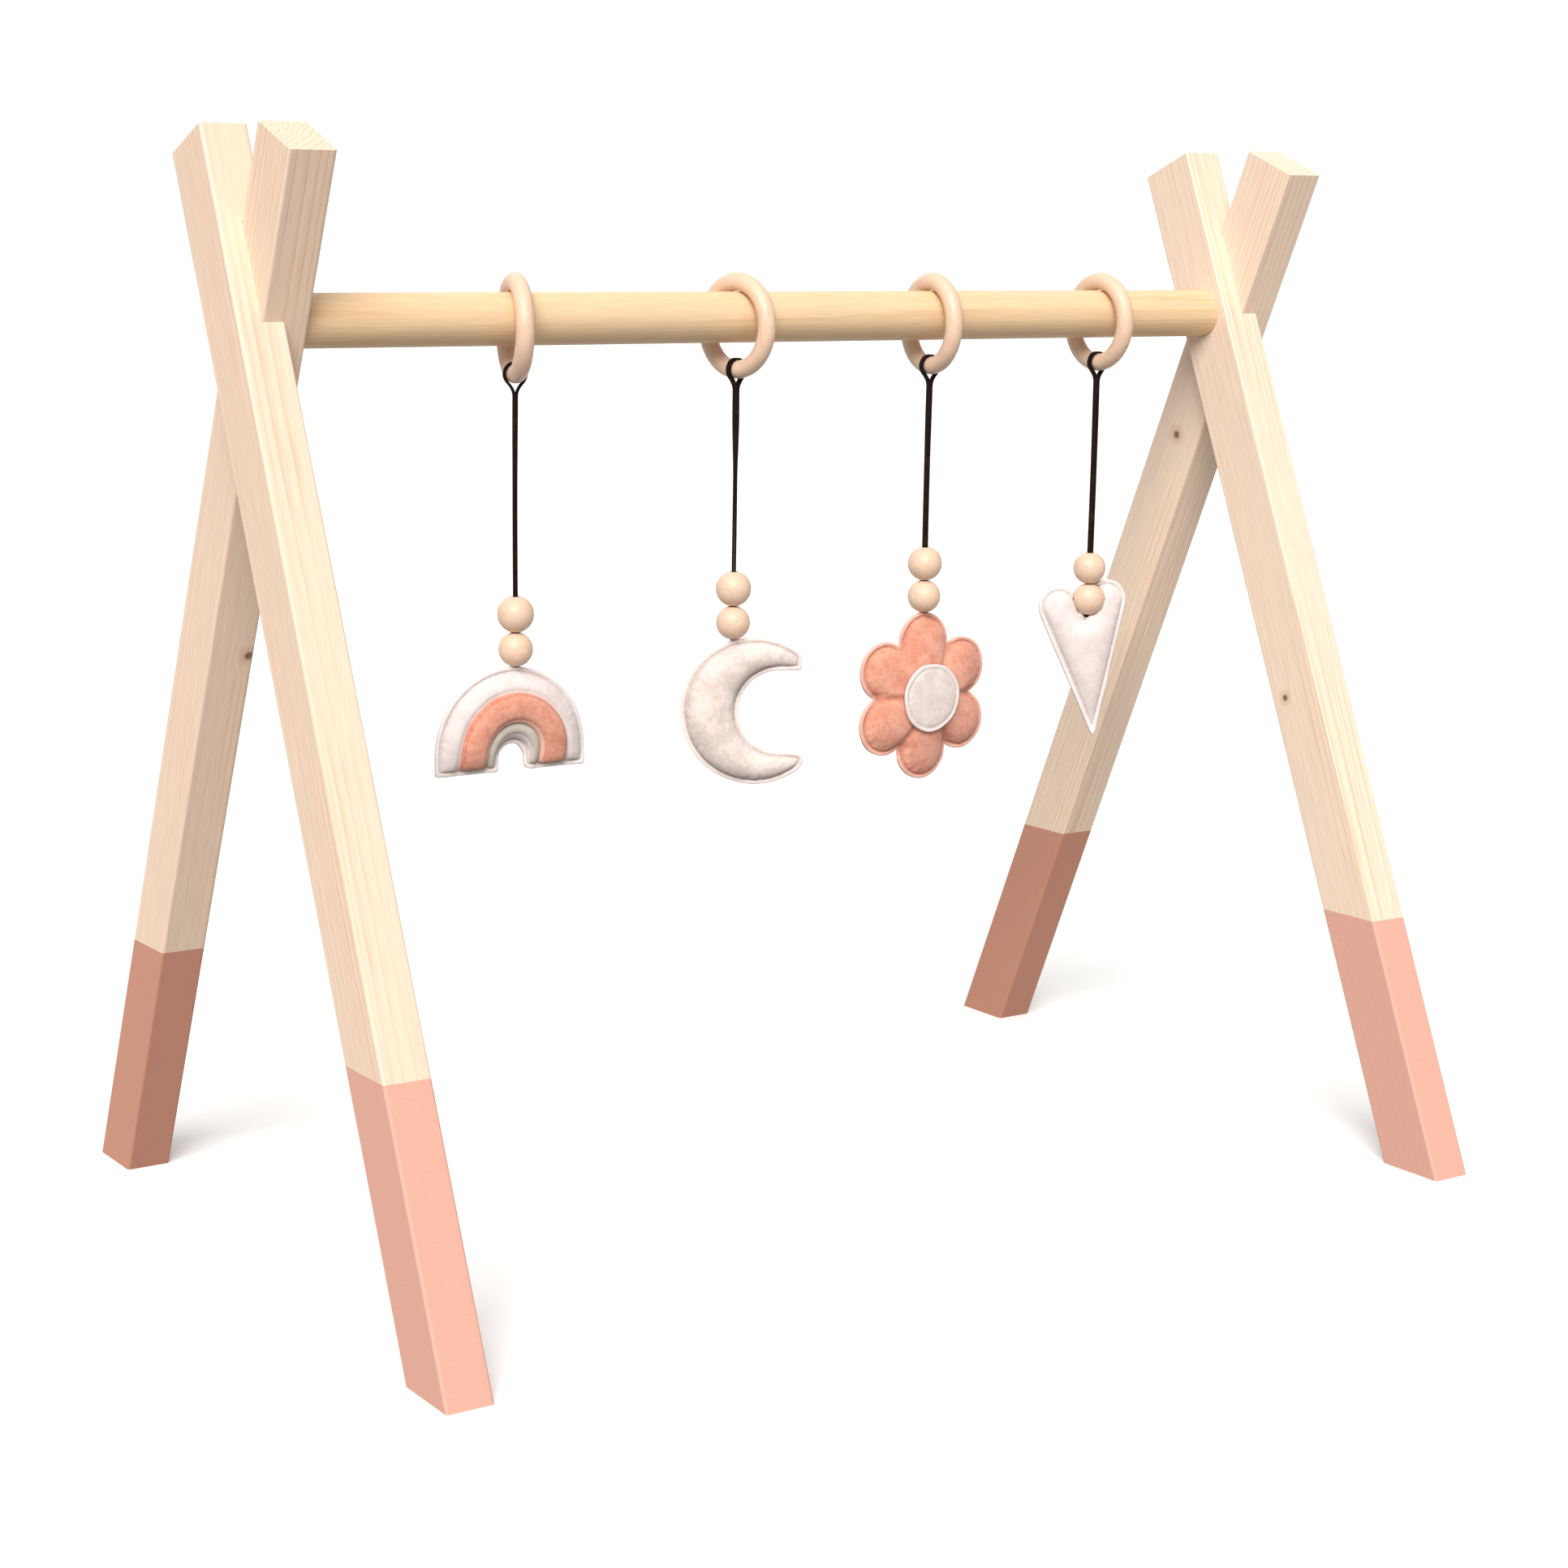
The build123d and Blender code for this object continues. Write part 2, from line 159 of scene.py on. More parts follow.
def ramp(tree, value, stops):
    """Colour ramp; stops are (place, grey or colour)."""
    made = add(tree, "ValToRGB", {"Fac": value})
    elements = made.color_ramp.elements
    while len(elements) < len(stops):
        elements.new(0.5)
    for element, (place, colour) in zip(elements, stops):
        element.position = place
        element.color = (*colour, 1) if isinstance(colour, tuple) else (colour, colour, colour, 1)
    return made.outputs["Color"]


def noise(tree, vector, scale, detail=4.0, roughness=0.5):
    inputs = {"Vector": vector, "Scale": scale, "Detail": detail, "Roughness": roughness}
    return add(tree, "TexNoise", inputs).outputs["Fac"]


def span(tree, value, low, high, to_low=0.0, to_high=1.0):
    """Value mapped smoothly from low..high to to_low..to_high."""
    inputs = {"Value": value, "From Min": low, "From Max": high, "To Min": to_low, "To Max": to_high}
    return add(tree, "MapRange", inputs, interpolation_type="SMOOTHSTEP").outputs["Result"]


def maths(tree, operation, first, second):
    return add(tree, "Math", {0: first, 1: second}, operation=operation).outputs[0]


def plus(tree, first, second):
    return maths(tree, "ADD", first, second)


def times(tree, first, second):
    return maths(tree, "MULTIPLY", first, second)


def shade(tree, colour, tone):
    return mix(tree, 1.0, colour, tone, "MULTIPLY")


def cover(tree, shader, colour):
    tree.links.new(colour, shader.inputs["Base Color"])


def bump(tree, shader, height, strength, distance):
    made = add(tree, "Bump", {"Height": height, "Strength": strength, "Distance": distance})
    tree.links.new(made.outputs["Normal"], shader.inputs["Normal"])


def own_place(tree):
    return add(tree, "TexCoord").outputs["Object"]


def place(tree, location=(0, 0, 0), rotation=(0, 0, 0), scale=(1, 1, 1)):
    """The piece's own coordinates, seen from a frame with that place, turn and scale."""
    inputs = {"Vector": own_place(tree), "Location": location, "Rotation": rotation}
    local = add(tree, "Mapping", inputs, vector_type="TEXTURE").outputs["Vector"]
    return add(tree, "Mapping", {"Vector": local, "Scale": scale}).outputs["Vector"]


# ---- wood

GRAIN_ALONG = 0.045


def wood_colour(tree, where, turn, pale, late, ring_scale, knots=()):
    """Colour and height of growth rings about an axis beside the piece, long fibres and broad tone."""
    grain = place(tree, where, turn, (1, 1, GRAIN_ALONG))
    spacing = noise(tree, place(tree, where, turn, (1, 1, 0.02)), 52, 2.0)
    phase = times(tree, spacing, 26.0)
    own = own_place(tree)
    knot_mask = None
    halo_mask = None
    for centre, radius in knots:
        gap = add(tree, "VectorMath", {0: own, 1: centre}, operation="DISTANCE").outputs["Value"]
        flow = span(tree, gap, radius * 4.5, radius * 0.5, 0.0, 5.0)
        phase = plus(tree, phase, flow)
        core = span(tree, gap, radius, radius * 0.45)
        halo = span(tree, gap, radius * 2.6, radius * 0.9)
        knot_mask = core if knot_mask is None else maths(tree, "MAXIMUM", knot_mask, core)
        halo_mask = halo if halo_mask is None else maths(tree, "MAXIMUM", halo_mask, halo)
    inputs = {
        "Vector": grain,
        "Scale": ring_scale,
        "Distortion": 3.4,
        "Detail": 3.0,
        "Detail Scale": 0.32,
        "Detail Roughness": 0.55,
        "Phase Offset": phase,
    }
    rings = add(tree, "TexWave", inputs, wave_type="RINGS", rings_direction="Z", wave_profile="SAW")
    wave = rings.outputs["Fac"]
    late_line = ramp(tree, wave, [(0.0, 0.0), (0.45, 0.10), (0.80, 0.42), (0.95, 1.0), (1.0, 0.25)])
    fibre_place = place(tree, where, turn, (1, 1, 0.03))
    fibre = noise(tree, fibre_place, 1500, 3.0)
    broad = noise(tree, place(tree, where, turn, (1, 1, 0.25)), 26, 2.0)
    strength = span(tree, broad, 0.35, 0.65, 0.15, 1.0)
    colour = mix(tree, times(tree, late_line, strength), (*pale, 1), (*late, 1))
    tone = ramp(tree, fibre, [(0.3, 0.90), (0.7, 1.04)])
    colour = shade(tree, colour, tone)
    colour = mix(tree, 0.6, colour, ramp(tree, broad, [(0.3, 0.93), (0.7, 1.03)]), "MULTIPLY")
    if knot_mask is not None:
        colour = mix(tree, times(tree, halo_mask, 0.35), colour, (0.50, 0.26, 0.13, 1))
        colour = mix(tree, times(tree, knot_mask, 0.9), colour, (0.19, 0.075, 0.04, 1))
    height = plus(tree, times(tree, fibre, 0.6), times(tree, late_line, -0.4))
    return colour, height


PINE = (0.87, 0.665, 0.515)
PINE_LATE = (0.76, 0.475, 0.315)
PAINT = (0.72, 0.39, 0.305)


def tinted(colour, tint):
    return tuple(channel * share for channel, share in zip(colour, tint))


def pine_leg(name, lean_side, centre, heart_offset, knots, paint_shade, wood_tint):
    """Planed pine whose lower end is dipped in matt paint, up to a level edge."""
    material, tree, shader = start(name, 0.55, Specular_IOR_Level=0.32)
    turn = (-lean_side * LEG_LEAN, 0, 0)
    axis = (centre[0] + heart_offset[0], centre[1] + heart_offset[1], centre[2])
    pale, late = tinted(PINE, wood_tint), tinted(PINE_LATE, wood_tint)
    colour, height = wood_colour(tree, axis, turn, pale, late, 104, knots)
    own = own_place(tree)
    level = add(tree, "SeparateXYZ", {0: own}).outputs["Z"]
    ragged = times(tree, noise(tree, own, 420, 2.0), 0.7 * MM)
    depth = maths(tree, "SUBTRACT", PAINT_HEIGHT, plus(tree, level, ragged))
    painted = span(tree, depth, -0.15 * MM, 0.15 * MM)
    paint_tone = ramp(tree, noise(tree, own, 1300, 4.0, 0.7), [(0.3, 0.93), (0.7, 1.05)])
    # paint_shade is painted shade on the back legs; the front legs keep the paint's own colour.
    paint = shade(tree, (*tinted(PAINT, paint_shade), 1), paint_tone)
    paint = mix(tree, 0.10, paint, colour, "MULTIPLY")
    cover(tree, shader, mix(tree, painted, colour, paint))
    tree.links.new(span(tree, painted, 0.0, 1.0, 0.55, 0.62), shader.inputs["Roughness"])
    coat = times(tree, painted, 0.8)
    brush = times(tree, noise(tree, place(tree, axis, turn, (1, 1, 0.06)), 700, 3.0), 0.35)
    under = times(tree, height, span(tree, painted, 0.0, 1.0, 1.0, 0.35))
    relief = plus(tree, under, plus(tree, coat, times(tree, painted, brush)))
    bump(tree, shader, relief, 0.35, 0.25 * MM)
    return material


def dress(node, material):
    """Give a carried-over CAD node its material."""
    mesh = NODES[node].data
    mesh.materials.clear()
    mesh.materials.append(material)


def middle_of(node):
    low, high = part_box(node)
    return (low + high) / 2


KNOT_RADIUS = 3.2 * MM
LEG_DEPTH = 38 * MM
# Each knot's face, how far it lies below the crossing and across from the face's middle, and its radius.
LEG_KNOTS = {
    "left_back_leg": ("front", 183 * MM, 10 * MM, KNOT_RADIUS),
    "right_back_leg": ("left", 83 * MM, 0, KNOT_RADIUS),
    "right_front_leg": ("left", 244 * MM, -8 * MM, KNOT_RADIUS * 0.8),
}
WOOD_TINTS = {"left": (1, 1, 1), "right": (1.02, 1.06, 1.08)}
# Painted shade: the back legs' paint is darker, standing for the shade on their faces that look down.
BACK_PAINT_SHADE = (0.78, 0.69, 0.62)
HEART_OFFSETS = {
    "left_front_leg": (0.034, 0.058),
    "left_back_leg": (-0.046, 0.046),
    "right_front_leg": (0.046, 0.050),
    "right_back_leg": (-0.030, -0.060),
}
crossing = middle_of("crossbar")


def knot_place(centre, lean_side, half_width, face, below, across):
    """A place on a leg's front or left face, measured down the leg from the crossing."""
    forward = LEG_DEPTH / 2 if face == "front" else across
    sideways = across if face == "front" else -half_width
    return (
        centre[0] + sideways,
        centre[1] - lean_side * math.sin(LEG_LEAN) * below - math.cos(LEG_LEAN) * forward,
        centre[2] - math.cos(LEG_LEAN) * below + lean_side * math.sin(LEG_LEAN) * forward,
    )


for node in HEART_OFFSETS:
    low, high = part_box(node)
    side = 1 if "front" in node else -1
    leg_centre = ((low.x + high.x) / 2, 0.0, crossing.z)
    knots = []
    if node in LEG_KNOTS:
        face, below, across, radius = LEG_KNOTS[node]
        knots.append((knot_place(leg_centre, side, (high.x - low.x) / 2, face, below, across), radius))
    paint_shade = (1, 1, 1) if "front" in node else BACK_PAINT_SHADE
    wood_tint = WOOD_TINTS[node.split("_")[0]]
    offset = HEART_OFFSETS[node]
    dress(node, pine_leg(f"pine_{node}", side, leg_centre, offset, knots, paint_shade, wood_tint))

# The bar: a yellower dowel whose grain runs along it.
bar_material, bar_tree, bar_shader = start("pine_bar", 0.5, Specular_IOR_Level=0.35)
bar_colour, bar_height = wood_colour(
    bar_tree, (0, 0.030, 0.470), (0, math.pi / 2, 0), (0.83, 0.59, 0.36), (0.74, 0.475, 0.25), 130
)
cover(bar_tree, bar_shader, bar_colour)
bump(bar_tree, bar_shader, bar_height, 0.3, 0.2 * MM)
dress("crossbar", bar_material)


def beech(name, axis, turn, pale, late, scale):
    """Turned beech: fine rings, short dark flecks and a slow change of tone from piece to piece."""
    material, tree, shader = start(name, 0.42, Specular_IOR_Level=0.45)
    colour, height = wood_colour(tree, axis, turn, pale, late, scale)
    fleck = noise(tree, place(tree, axis, turn, (1, 1, 0.22)), 2100, 2.0, 0.6)
    marks = ramp(tree, fleck, [(0.60, 0.0), (0.72, 0.6)])
    colour = mix(tree, marks, colour, (0.52, 0.30, 0.18, 1))
    cover(tree, shader, colour)
    bump(tree, shader, height, 0.18, 0.15 * MM)
    return material


# Pale and late wood of the rings and of the beads.
RING_BEECH = (0.82, 0.575, 0.415), (0.70, 0.43, 0.28)
BEAD_BEECH = (0.80, 0.575, 0.42), (0.68, 0.43, 0.29)
for hanger in TOYS:
    ring_middle = middle_of(f"{hanger}_ring")
    beside = (ring_middle.x + 0.02, 0.09, ring_middle.z)
    dress(f"{hanger}_ring", beech(f"beech_{hanger}_ring", beside, (0, 0, 0), *RING_BEECH, 150))
    for which, tilt in (("lower", 0.35), ("upper", 1.1)):
        beside = (ring_middle.x + 0.006, 0.05 + 0.02 * tilt, ring_middle.z - 0.16)
        turned = (tilt, 0.4 * tilt, 0)
        dress(f"{hanger}_{which}_bead", beech(f"beech_{hanger}_{which}", beside, turned, *BEAD_BEECH, 170))


def metal(name, colour, roughness):
    """Turned metal with fine lathe marks."""
    material, tree, shader = start(name, roughness, Metallic=1.0)
    marks = noise(tree, place(tree, scale=(1, 0.02, 0.02)), 3000, 2.0)
    tone = ramp(tree, marks, [(0.35, 0.86), (0.65, 1.05)])
    cover(tree, shader, shade(tree, (*colour, 1), tone))
    bump(tree, shader, marks, 0.2, 0.05 * MM)
    return material


for side_name in ("left", "right"):
    dress(f"{side_name}_stud", metal(f"zinc_{side_name}", (0.62, 0.63, 0.65), 0.32))
    dress(f"{side_name}_insert", metal(f"brass_{side_name}", (0.78, 0.57, 0.27), 0.28))

# ---- felt and suede


def felt(name, base, mottle, painted_shade_colour):
    """Craft felt: matted fibres in three sizes, a paler cut edge that is partly the felt's own tone and
    partly painted highlight, and painted shade along stitched seams, in folds and where the felt faces down.
    """
    sheen = dict(Sheen_Weight=0.28, Sheen_Roughness=0.55)
    material, tree, shader = start(name, 0.96, Specular_IOR_Level=0.12, **sheen)
    own = own_place(tree)
    cloud = noise(tree, own, 95, 3.0, 0.6)
    tuft = noise(tree, own, 420, 4.0, 0.65)
    warp = add(tree, "TexNoise", {"Vector": own, "Scale": 260, "Detail": 2.0}).outputs["Color"]
    curl = add(tree, "VectorMath", {0: warp, 1: (0.006, 0.006, 0.006)}, operation="MULTIPLY").outputs[0]
    strands = add(tree, "VectorMath", {0: own, 1: curl}, operation="ADD").outputs[0]
    fibre = noise(tree, strands, 2600, 3.0, 0.7)
    blend = plus(tree, times(tree, cloud, 0.55), times(tree, tuft, 0.45))
    colour = mix(tree, span(tree, blend, 0.38, 0.62), (*mottle, 1), (*base, 1))
    colour = shade(tree, colour, ramp(tree, fibre, [(0.3, 0.90), (0.7, 1.05)]))
    rim_tone_and_highlight = add(tree, "Attribute", attribute_name="rim_tone_and_highlight").outputs["Fac"]
    painted_shade = add(tree, "Attribute", attribute_name="painted_shade").outputs["Fac"]
    pale = tuple(channel + (1 - channel) * 0.32 for channel in base)
    # Paler cut edge: partly the felt's own tone, partly painted highlight.
    colour = mix(tree, times(tree, rim_tone_and_highlight, 0.55), colour, (*pale, 1))
    # Painted shade: darker along stitched seams, in folds and where the felt faces down.
    colour = mix(tree, times(tree, painted_shade, 0.42), colour, (*painted_shade_colour, 1))
    cover(tree, shader, colour)
    nap = plus(tree, times(tree, fibre, 0.6), times(tree, tuft, 0.5))
    bump(tree, shader, nap, 0.55, 0.35 * MM)
    return material


def thread(name, colour):
    """Sewing thread with a fine ply."""
    material, tree, shader = start(name, 0.7, Specular_IOR_Level=0.3, Sheen_Weight=0.2)
    ply = add(tree, "TexWave", {"Vector": place(tree), "Scale": 900, "Distortion": 1.0}).outputs["Fac"]
    tone = ramp(tree, ply, [(0.2, 0.78), (0.8, 1.06)])
    cover(tree, shader, shade(tree, (*colour, 1), tone))
    bump(tree, shader, ply, 0.3, 0.05 * MM)
    return material


WHITE = felt("felt_white", (0.82, 0.725, 0.70), (0.745, 0.645, 0.615), (0.60, 0.48, 0.45))
CORAL = felt("felt_coral", (0.82, 0.39, 0.275), (0.67, 0.265, 0.175), (0.46, 0.135, 0.075))
GREY = felt("felt_grey", (0.82, 0.695, 0.65), (0.65, 0.545, 0.505), (0.44, 0.36, 0.33))
BEIGE = felt("felt_beige", (0.66, 0.60, 0.53), (0.54, 0.48, 0.41), (0.38, 0.32, 0.26))
WADDING = felt("wadding", (0.86, 0.86, 0.85), (0.80, 0.80, 0.79), (0.74, 0.74, 0.73))
WHITE_THREAD = thread("thread_white", (0.76, 0.68, 0.66))
CORAL_THREAD = thread("thread_coral", (0.62, 0.24, 0.16))
GREY_THREAD = thread("thread_grey", (0.62, 0.56, 0.55))


def suede():
    """Napped dark brown suede, worn paler in places."""
    material, tree, shader = start("suede_lace", 0.8, Specular_IOR_Level=0.08)
    own = own_place(tree)
    nap = noise(tree, own, 1900, 4.0, 0.65)
    wear = noise(tree, own, 210, 3.0)
    colour = mix(tree, span(tree, nap, 0.35, 0.7), (0.007, 0.0034, 0.0026, 1), (0.022, 0.0095, 0.006, 1))
    colour = mix(tree, span(tree, wear, 0.55, 0.75, 0.0, 0.5), colour, (0.050, 0.022, 0.014, 1))
    cover(tree, shader, colour)
    bump(tree, shader, nap, 0.5, 0.2 * MM)
    return material


SUEDE = suede()

# ---- meshes


def make_piece(name, points, faces, material):
    mesh = bpy.data.meshes.new(name)
    mesh.from_pydata([tuple(p) for p in points], [], faces)
    mesh.update()
    mesh.shade_smooth()
    mesh.materials.append(material)
    piece = bpy.data.objects.new(name, mesh)
    bpy.context.scene.collection.objects.link(piece)
    return piece


def arc(centre, radius, first, last):
    """Points along an arc, angles in degrees."""
    count = max(4, int(radius * math.radians(abs(last - first)) / MESH_STEP))
    angles = np.radians(np.linspace(first, last, count + 1))
    return [(centre[0] + radius * math.cos(a), centre[1] + radius * math.sin(a)) for a in angles]


def resample(corners):
    """A closed outline with its long edges cut into steps."""
    corners = np.array(corners)
    kept = [corners[0]]
    for point in corners[1:]:
        if np.linalg.norm(point - kept[-1]) > SAME_PLACE:
            kept.append(point)
    if np.linalg.norm(kept[0] - kept[-1]) < SAME_PLACE:
        kept.pop()
    points = []
    for here, there in zip(kept, kept[1:] + kept[:1]):
        pieces = max(1, int(round(np.linalg.norm(there - here) / MESH_STEP)))
        points += [here + (there - here) * share for share in np.arange(pieces) / pieces]
    return np.array(points)


def ease(points, corner, reach, passes):
    """Round the outline near one corner."""
    points = points.copy()
    near = np.linalg.norm(points - np.array(corner), axis=1) < reach
    for _ in range(passes):
        smooth = (np.roll(points, 1, 0) + points * 2 + np.roll(points, -1, 0)) / 4
        points[near] = smooth[near]
    return points


def rainbow_outline():
    base = -RAINBOW_LEG
    spring = base + OPENING_HEIGHT - OPENING_RADIUS
    points = [(-RAINBOW_RADIUS, base), (-OPENING_RADIUS, base)]
    points += arc((0, spring), OPENING_RADIUS, 180, 0)
    points += [(OPENING_RADIUS, base), (RAINBOW_RADIUS, base)]
    points += arc((0, 0), RAINBOW_RADIUS, 0, 180)
    points = ease(resample(points), (OPENING_RADIUS, base), 5 * MM, 14)
    points = ease(points, (-OPENING_RADIUS, base), 3 * MM, 4)
    points = ease(points, (RAINBOW_RADIUS, base), 3 * MM, 2)
    return ease(points, (-RAINBOW_RADIUS, base), 3 * MM, 2)


def moon_outline():
    top = math.degrees(math.acos(MOON_TOP_HORN / MOON_RADIUS))
    low = math.degrees(math.acos((MOON_LOW_HORN - 1.5 * MM) / MOON_RADIUS))
    points = arc((0, 0), MOON_RADIUS, top, 360 - low)
    points += [(MOON_LOW_HORN, -27.5 * MM), (MOON_LOW_HORN - 1.2 * MM, -24.4 * MM)]
    points += [(MOON_SHIFT + 4 * MM, -MOON_HOLLOW)]
    points += arc((MOON_SHIFT, 0), MOON_HOLLOW, 270, 90)
    points += [(MOON_TOP_HORN, MOON_HOLLOW)]
    points = ease(resample(points), (MOON_LOW_HORN, -26.5 * MM), 7 * MM, 10)
    points = ease(points, (MOON_TOP_HORN, MOON_HOLLOW), 3 * MM, 4)
    return ease(points, (MOON_TOP_HORN, 32.3 * MM), 3.5 * MM, 4)


def flower_outline():
    points = []
    half_turn = math.radians(180 / PETALS)
    meet = PETAL_DISTANCE * math.cos(half_turn) + math.sqrt(
        PETAL_RADIUS**2 - (PETAL_DISTANCE * math.sin(half_turn)) ** 2
    )
    corner = np.array([meet * math.cos(half_turn), meet * math.sin(half_turn)])
    sweep = math.degrees(math.atan2(corner[1], corner[0] - PETAL_DISTANCE))
    for number in range(PETALS):
        middle = 90 + 360 / PETALS * number
        centre = PETAL_DISTANCE * np.array([math.cos(math.radians(middle)), math.sin(math.radians(middle))])
        points += arc(centre, PETAL_RADIUS, middle - sweep, middle + sweep)
    return resample(points)


def heart_outline():
    """Right half: notch, lobe and the straight edge to the tip; the left half mirrors it."""
    lobe = np.array([LOBE_SIDE, LOBE_RISE])

    def touch(point, side):
        away = np.array(point) - lobe
        opening = math.acos(LOBE_RADIUS / np.linalg.norm(away))
        return math.degrees(math.atan2(away[1], away[0]) + side * opening)

    inner = touch((0, 0), -1) % 360
    outer = touch((0, -HEART_DROP), 1)
    right = [(0, -HEART_DROP)] + arc(lobe, LOBE_RADIUS, outer, inner) + [(0, 0)]
    left = [(-x, y) for x, y in right[::-1]]
    return ease(resample(right + left[1:]), (0, -HEART_DROP), 5 * MM, 14)


def seat_bead(points, toy):
    """A slight rise of the seam where the lowest bead sits on it."""
    entry = -np.array(toy["shift"]) * MM
    near = np.clip(np.linalg.norm(points - entry, axis=1) / (5 * MM), 0, 1)
    points = points.copy()
    points[:, 1] += 0.55 * MM * (1 - near**2) ** 2
    return points


OUTLINES = {
    "rainbow": rainbow_outline,
    "moon": moon_outline,
    "flower": flower_outline,
    "heart": heart_outline,
}


def run_along(path):
    """Distance of each point from the path's start, along the path."""
    return np.concatenate([[0], np.linalg.norm(np.diff(path, axis=0), axis=1).cumsum()])


def edge_distance(points, outline):
    """Distance from each point to the closed outline."""
    along = np.roll(outline, -1, 0) - outline
    gap = points[:, None, :] - outline[None]
    share = np.clip((gap * along).sum(2) / (along**2).sum(1), 0, 1)
    return np.linalg.norm(gap - share[..., None] * along, axis=2).min(1)


def is_inside(points, outline):
    x, y = points[:, 0, None], points[:, 1, None]
    ax, ay = outline[:, 0], outline[:, 1]
    bx, by = np.roll(ax, -1), np.roll(ay, -1)
    spans = (ay > y) != (by > y)
    crossing_x = ax + (y - ay) * (bx - ax) / np.where(by == ay, 1e-12, by - ay)
    return (spans & (x < crossing_x)).sum(1) % 2 == 1


def inward(outline):
    """The outline's inward normals; it runs counter-clockwise."""
    run = np.roll(outline, -1, 0) - np.roll(outline, 1, 0)
    normal = np.stack([-run[:, 1], run[:, 0]], 1)
    return normal / np.linalg.norm(normal, axis=1)[:, None]


def offset_ring(outline, inset):
    ring = outline + inward(outline) * inset
    keep = (edge_distance(ring, outline) > inset * 0.97) & is_inside(ring, outline)
    return ring[keep]


def lay_out(outline, rings):
    """Triangles inside an outline: rows of points beside its edge and an even lattice in the middle."""

    def cell_of(point):
        return tuple(np.round(point / POINT_CELL).astype(int))

    taken = {cell_of(point) for point in outline}
    points = [*outline]
    for inset in rings:
        for point in offset_ring(outline, inset):
            if cell_of(point) not in taken:
                taken.add(cell_of(point))
                points.append(point)
    low, high = outline.min(0), outline.max(0)
    rows = np.arange(low[1], high[1], MESH_STEP * math.sqrt(3) / 2)
    lattice = []
    for number, y in enumerate(rows):
        shift = MESH_STEP / 2 * (number % 2)
        lattice += [(x, y) for x in np.arange(low[0] + shift, high[0], MESH_STEP)]
    lattice = np.array(lattice)
    lattice = lattice[is_inside(lattice, outline)]
    lattice = lattice[edge_distance(lattice, outline) > rings[-1] + 0.6 * MESH_STEP]
    points = np.array(points + [*lattice])
    count = len(outline)
    made = geometry.delaunay_2d_cdt([Vector(p) for p in points], [], [list(range(count))], 1, 1e-8)
    flat = np.array([tuple(p) for p in made[0]])
    return flat, [tuple(face) for face in made[2]]


def rim_edges(faces):
    """Directed edges with a face on one side only."""
    seen = dict.fromkeys(edge for face in faces for edge in zip(face, face[1:] + face[:1]))
    return [edge for edge in seen if edge[::-1] not in seen]


def closed_shell(top, bottom, faces):
    """Two surfaces over the same triangles, joined round their edge. top is the outer one."""
    count = len(top)
    lower = [tuple(count + i for i in face[::-1]) for face in faces]
    wall = [(there, here, here + count, there + count) for here, there in rim_edges(faces)]
    return np.vstack([top, bottom]), faces + lower + wall


def grid_swell(outline, seam):
    """Shape of a blown-up sheet held round its seam: (origin, step, heights from 0 to 1)."""
    step = 0.7 * MM
    low, high = outline.min(0) - 2 * step, outline.max(0) + 2 * step
    x, y = np.arange(low[0], high[0], step), np.arange(low[1], high[1], step)
    spots = np.stack(np.meshgrid(x, y, indexing="ij"), -1).reshape(-1, 2)
    free = is_inside(spots, outline)
    free[free] = edge_distance(spots[free], outline) > seam
    free = free.reshape(len(x), len(y)).astype(float)
    swell = free.copy()
    for _ in range(1400):
        around = swell[:-2, 1:-1] + swell[2:, 1:-1] + swell[1:-1, :-2] + swell[1:-1, 2:]
        swell[1:-1, 1:-1] = (around / 4 + 0.01) * free[1:-1, 1:-1]
    return low, step, np.sqrt(swell / swell.max())


def bilinear(table, i, j, k, l, u, v):
    """Values between rows i and k and columns j and l, at shares u and v."""
    return (
        table[i, j] * (1 - u) * (1 - v)
        + table[k, j] * u * (1 - v)
        + table[i, l] * (1 - u) * v
        + table[k, l] * u * v
    )


def read_grid(points, grid):
    low, step, values = grid
    place_in = (points - low) / step
    cell = np.clip(np.floor(place_in).astype(int), 0, np.array(values.shape) - 2)
    share = place_in - cell
    i, j = cell.T
    return bilinear(values, i, j, i + 1, j + 1, *share.T)


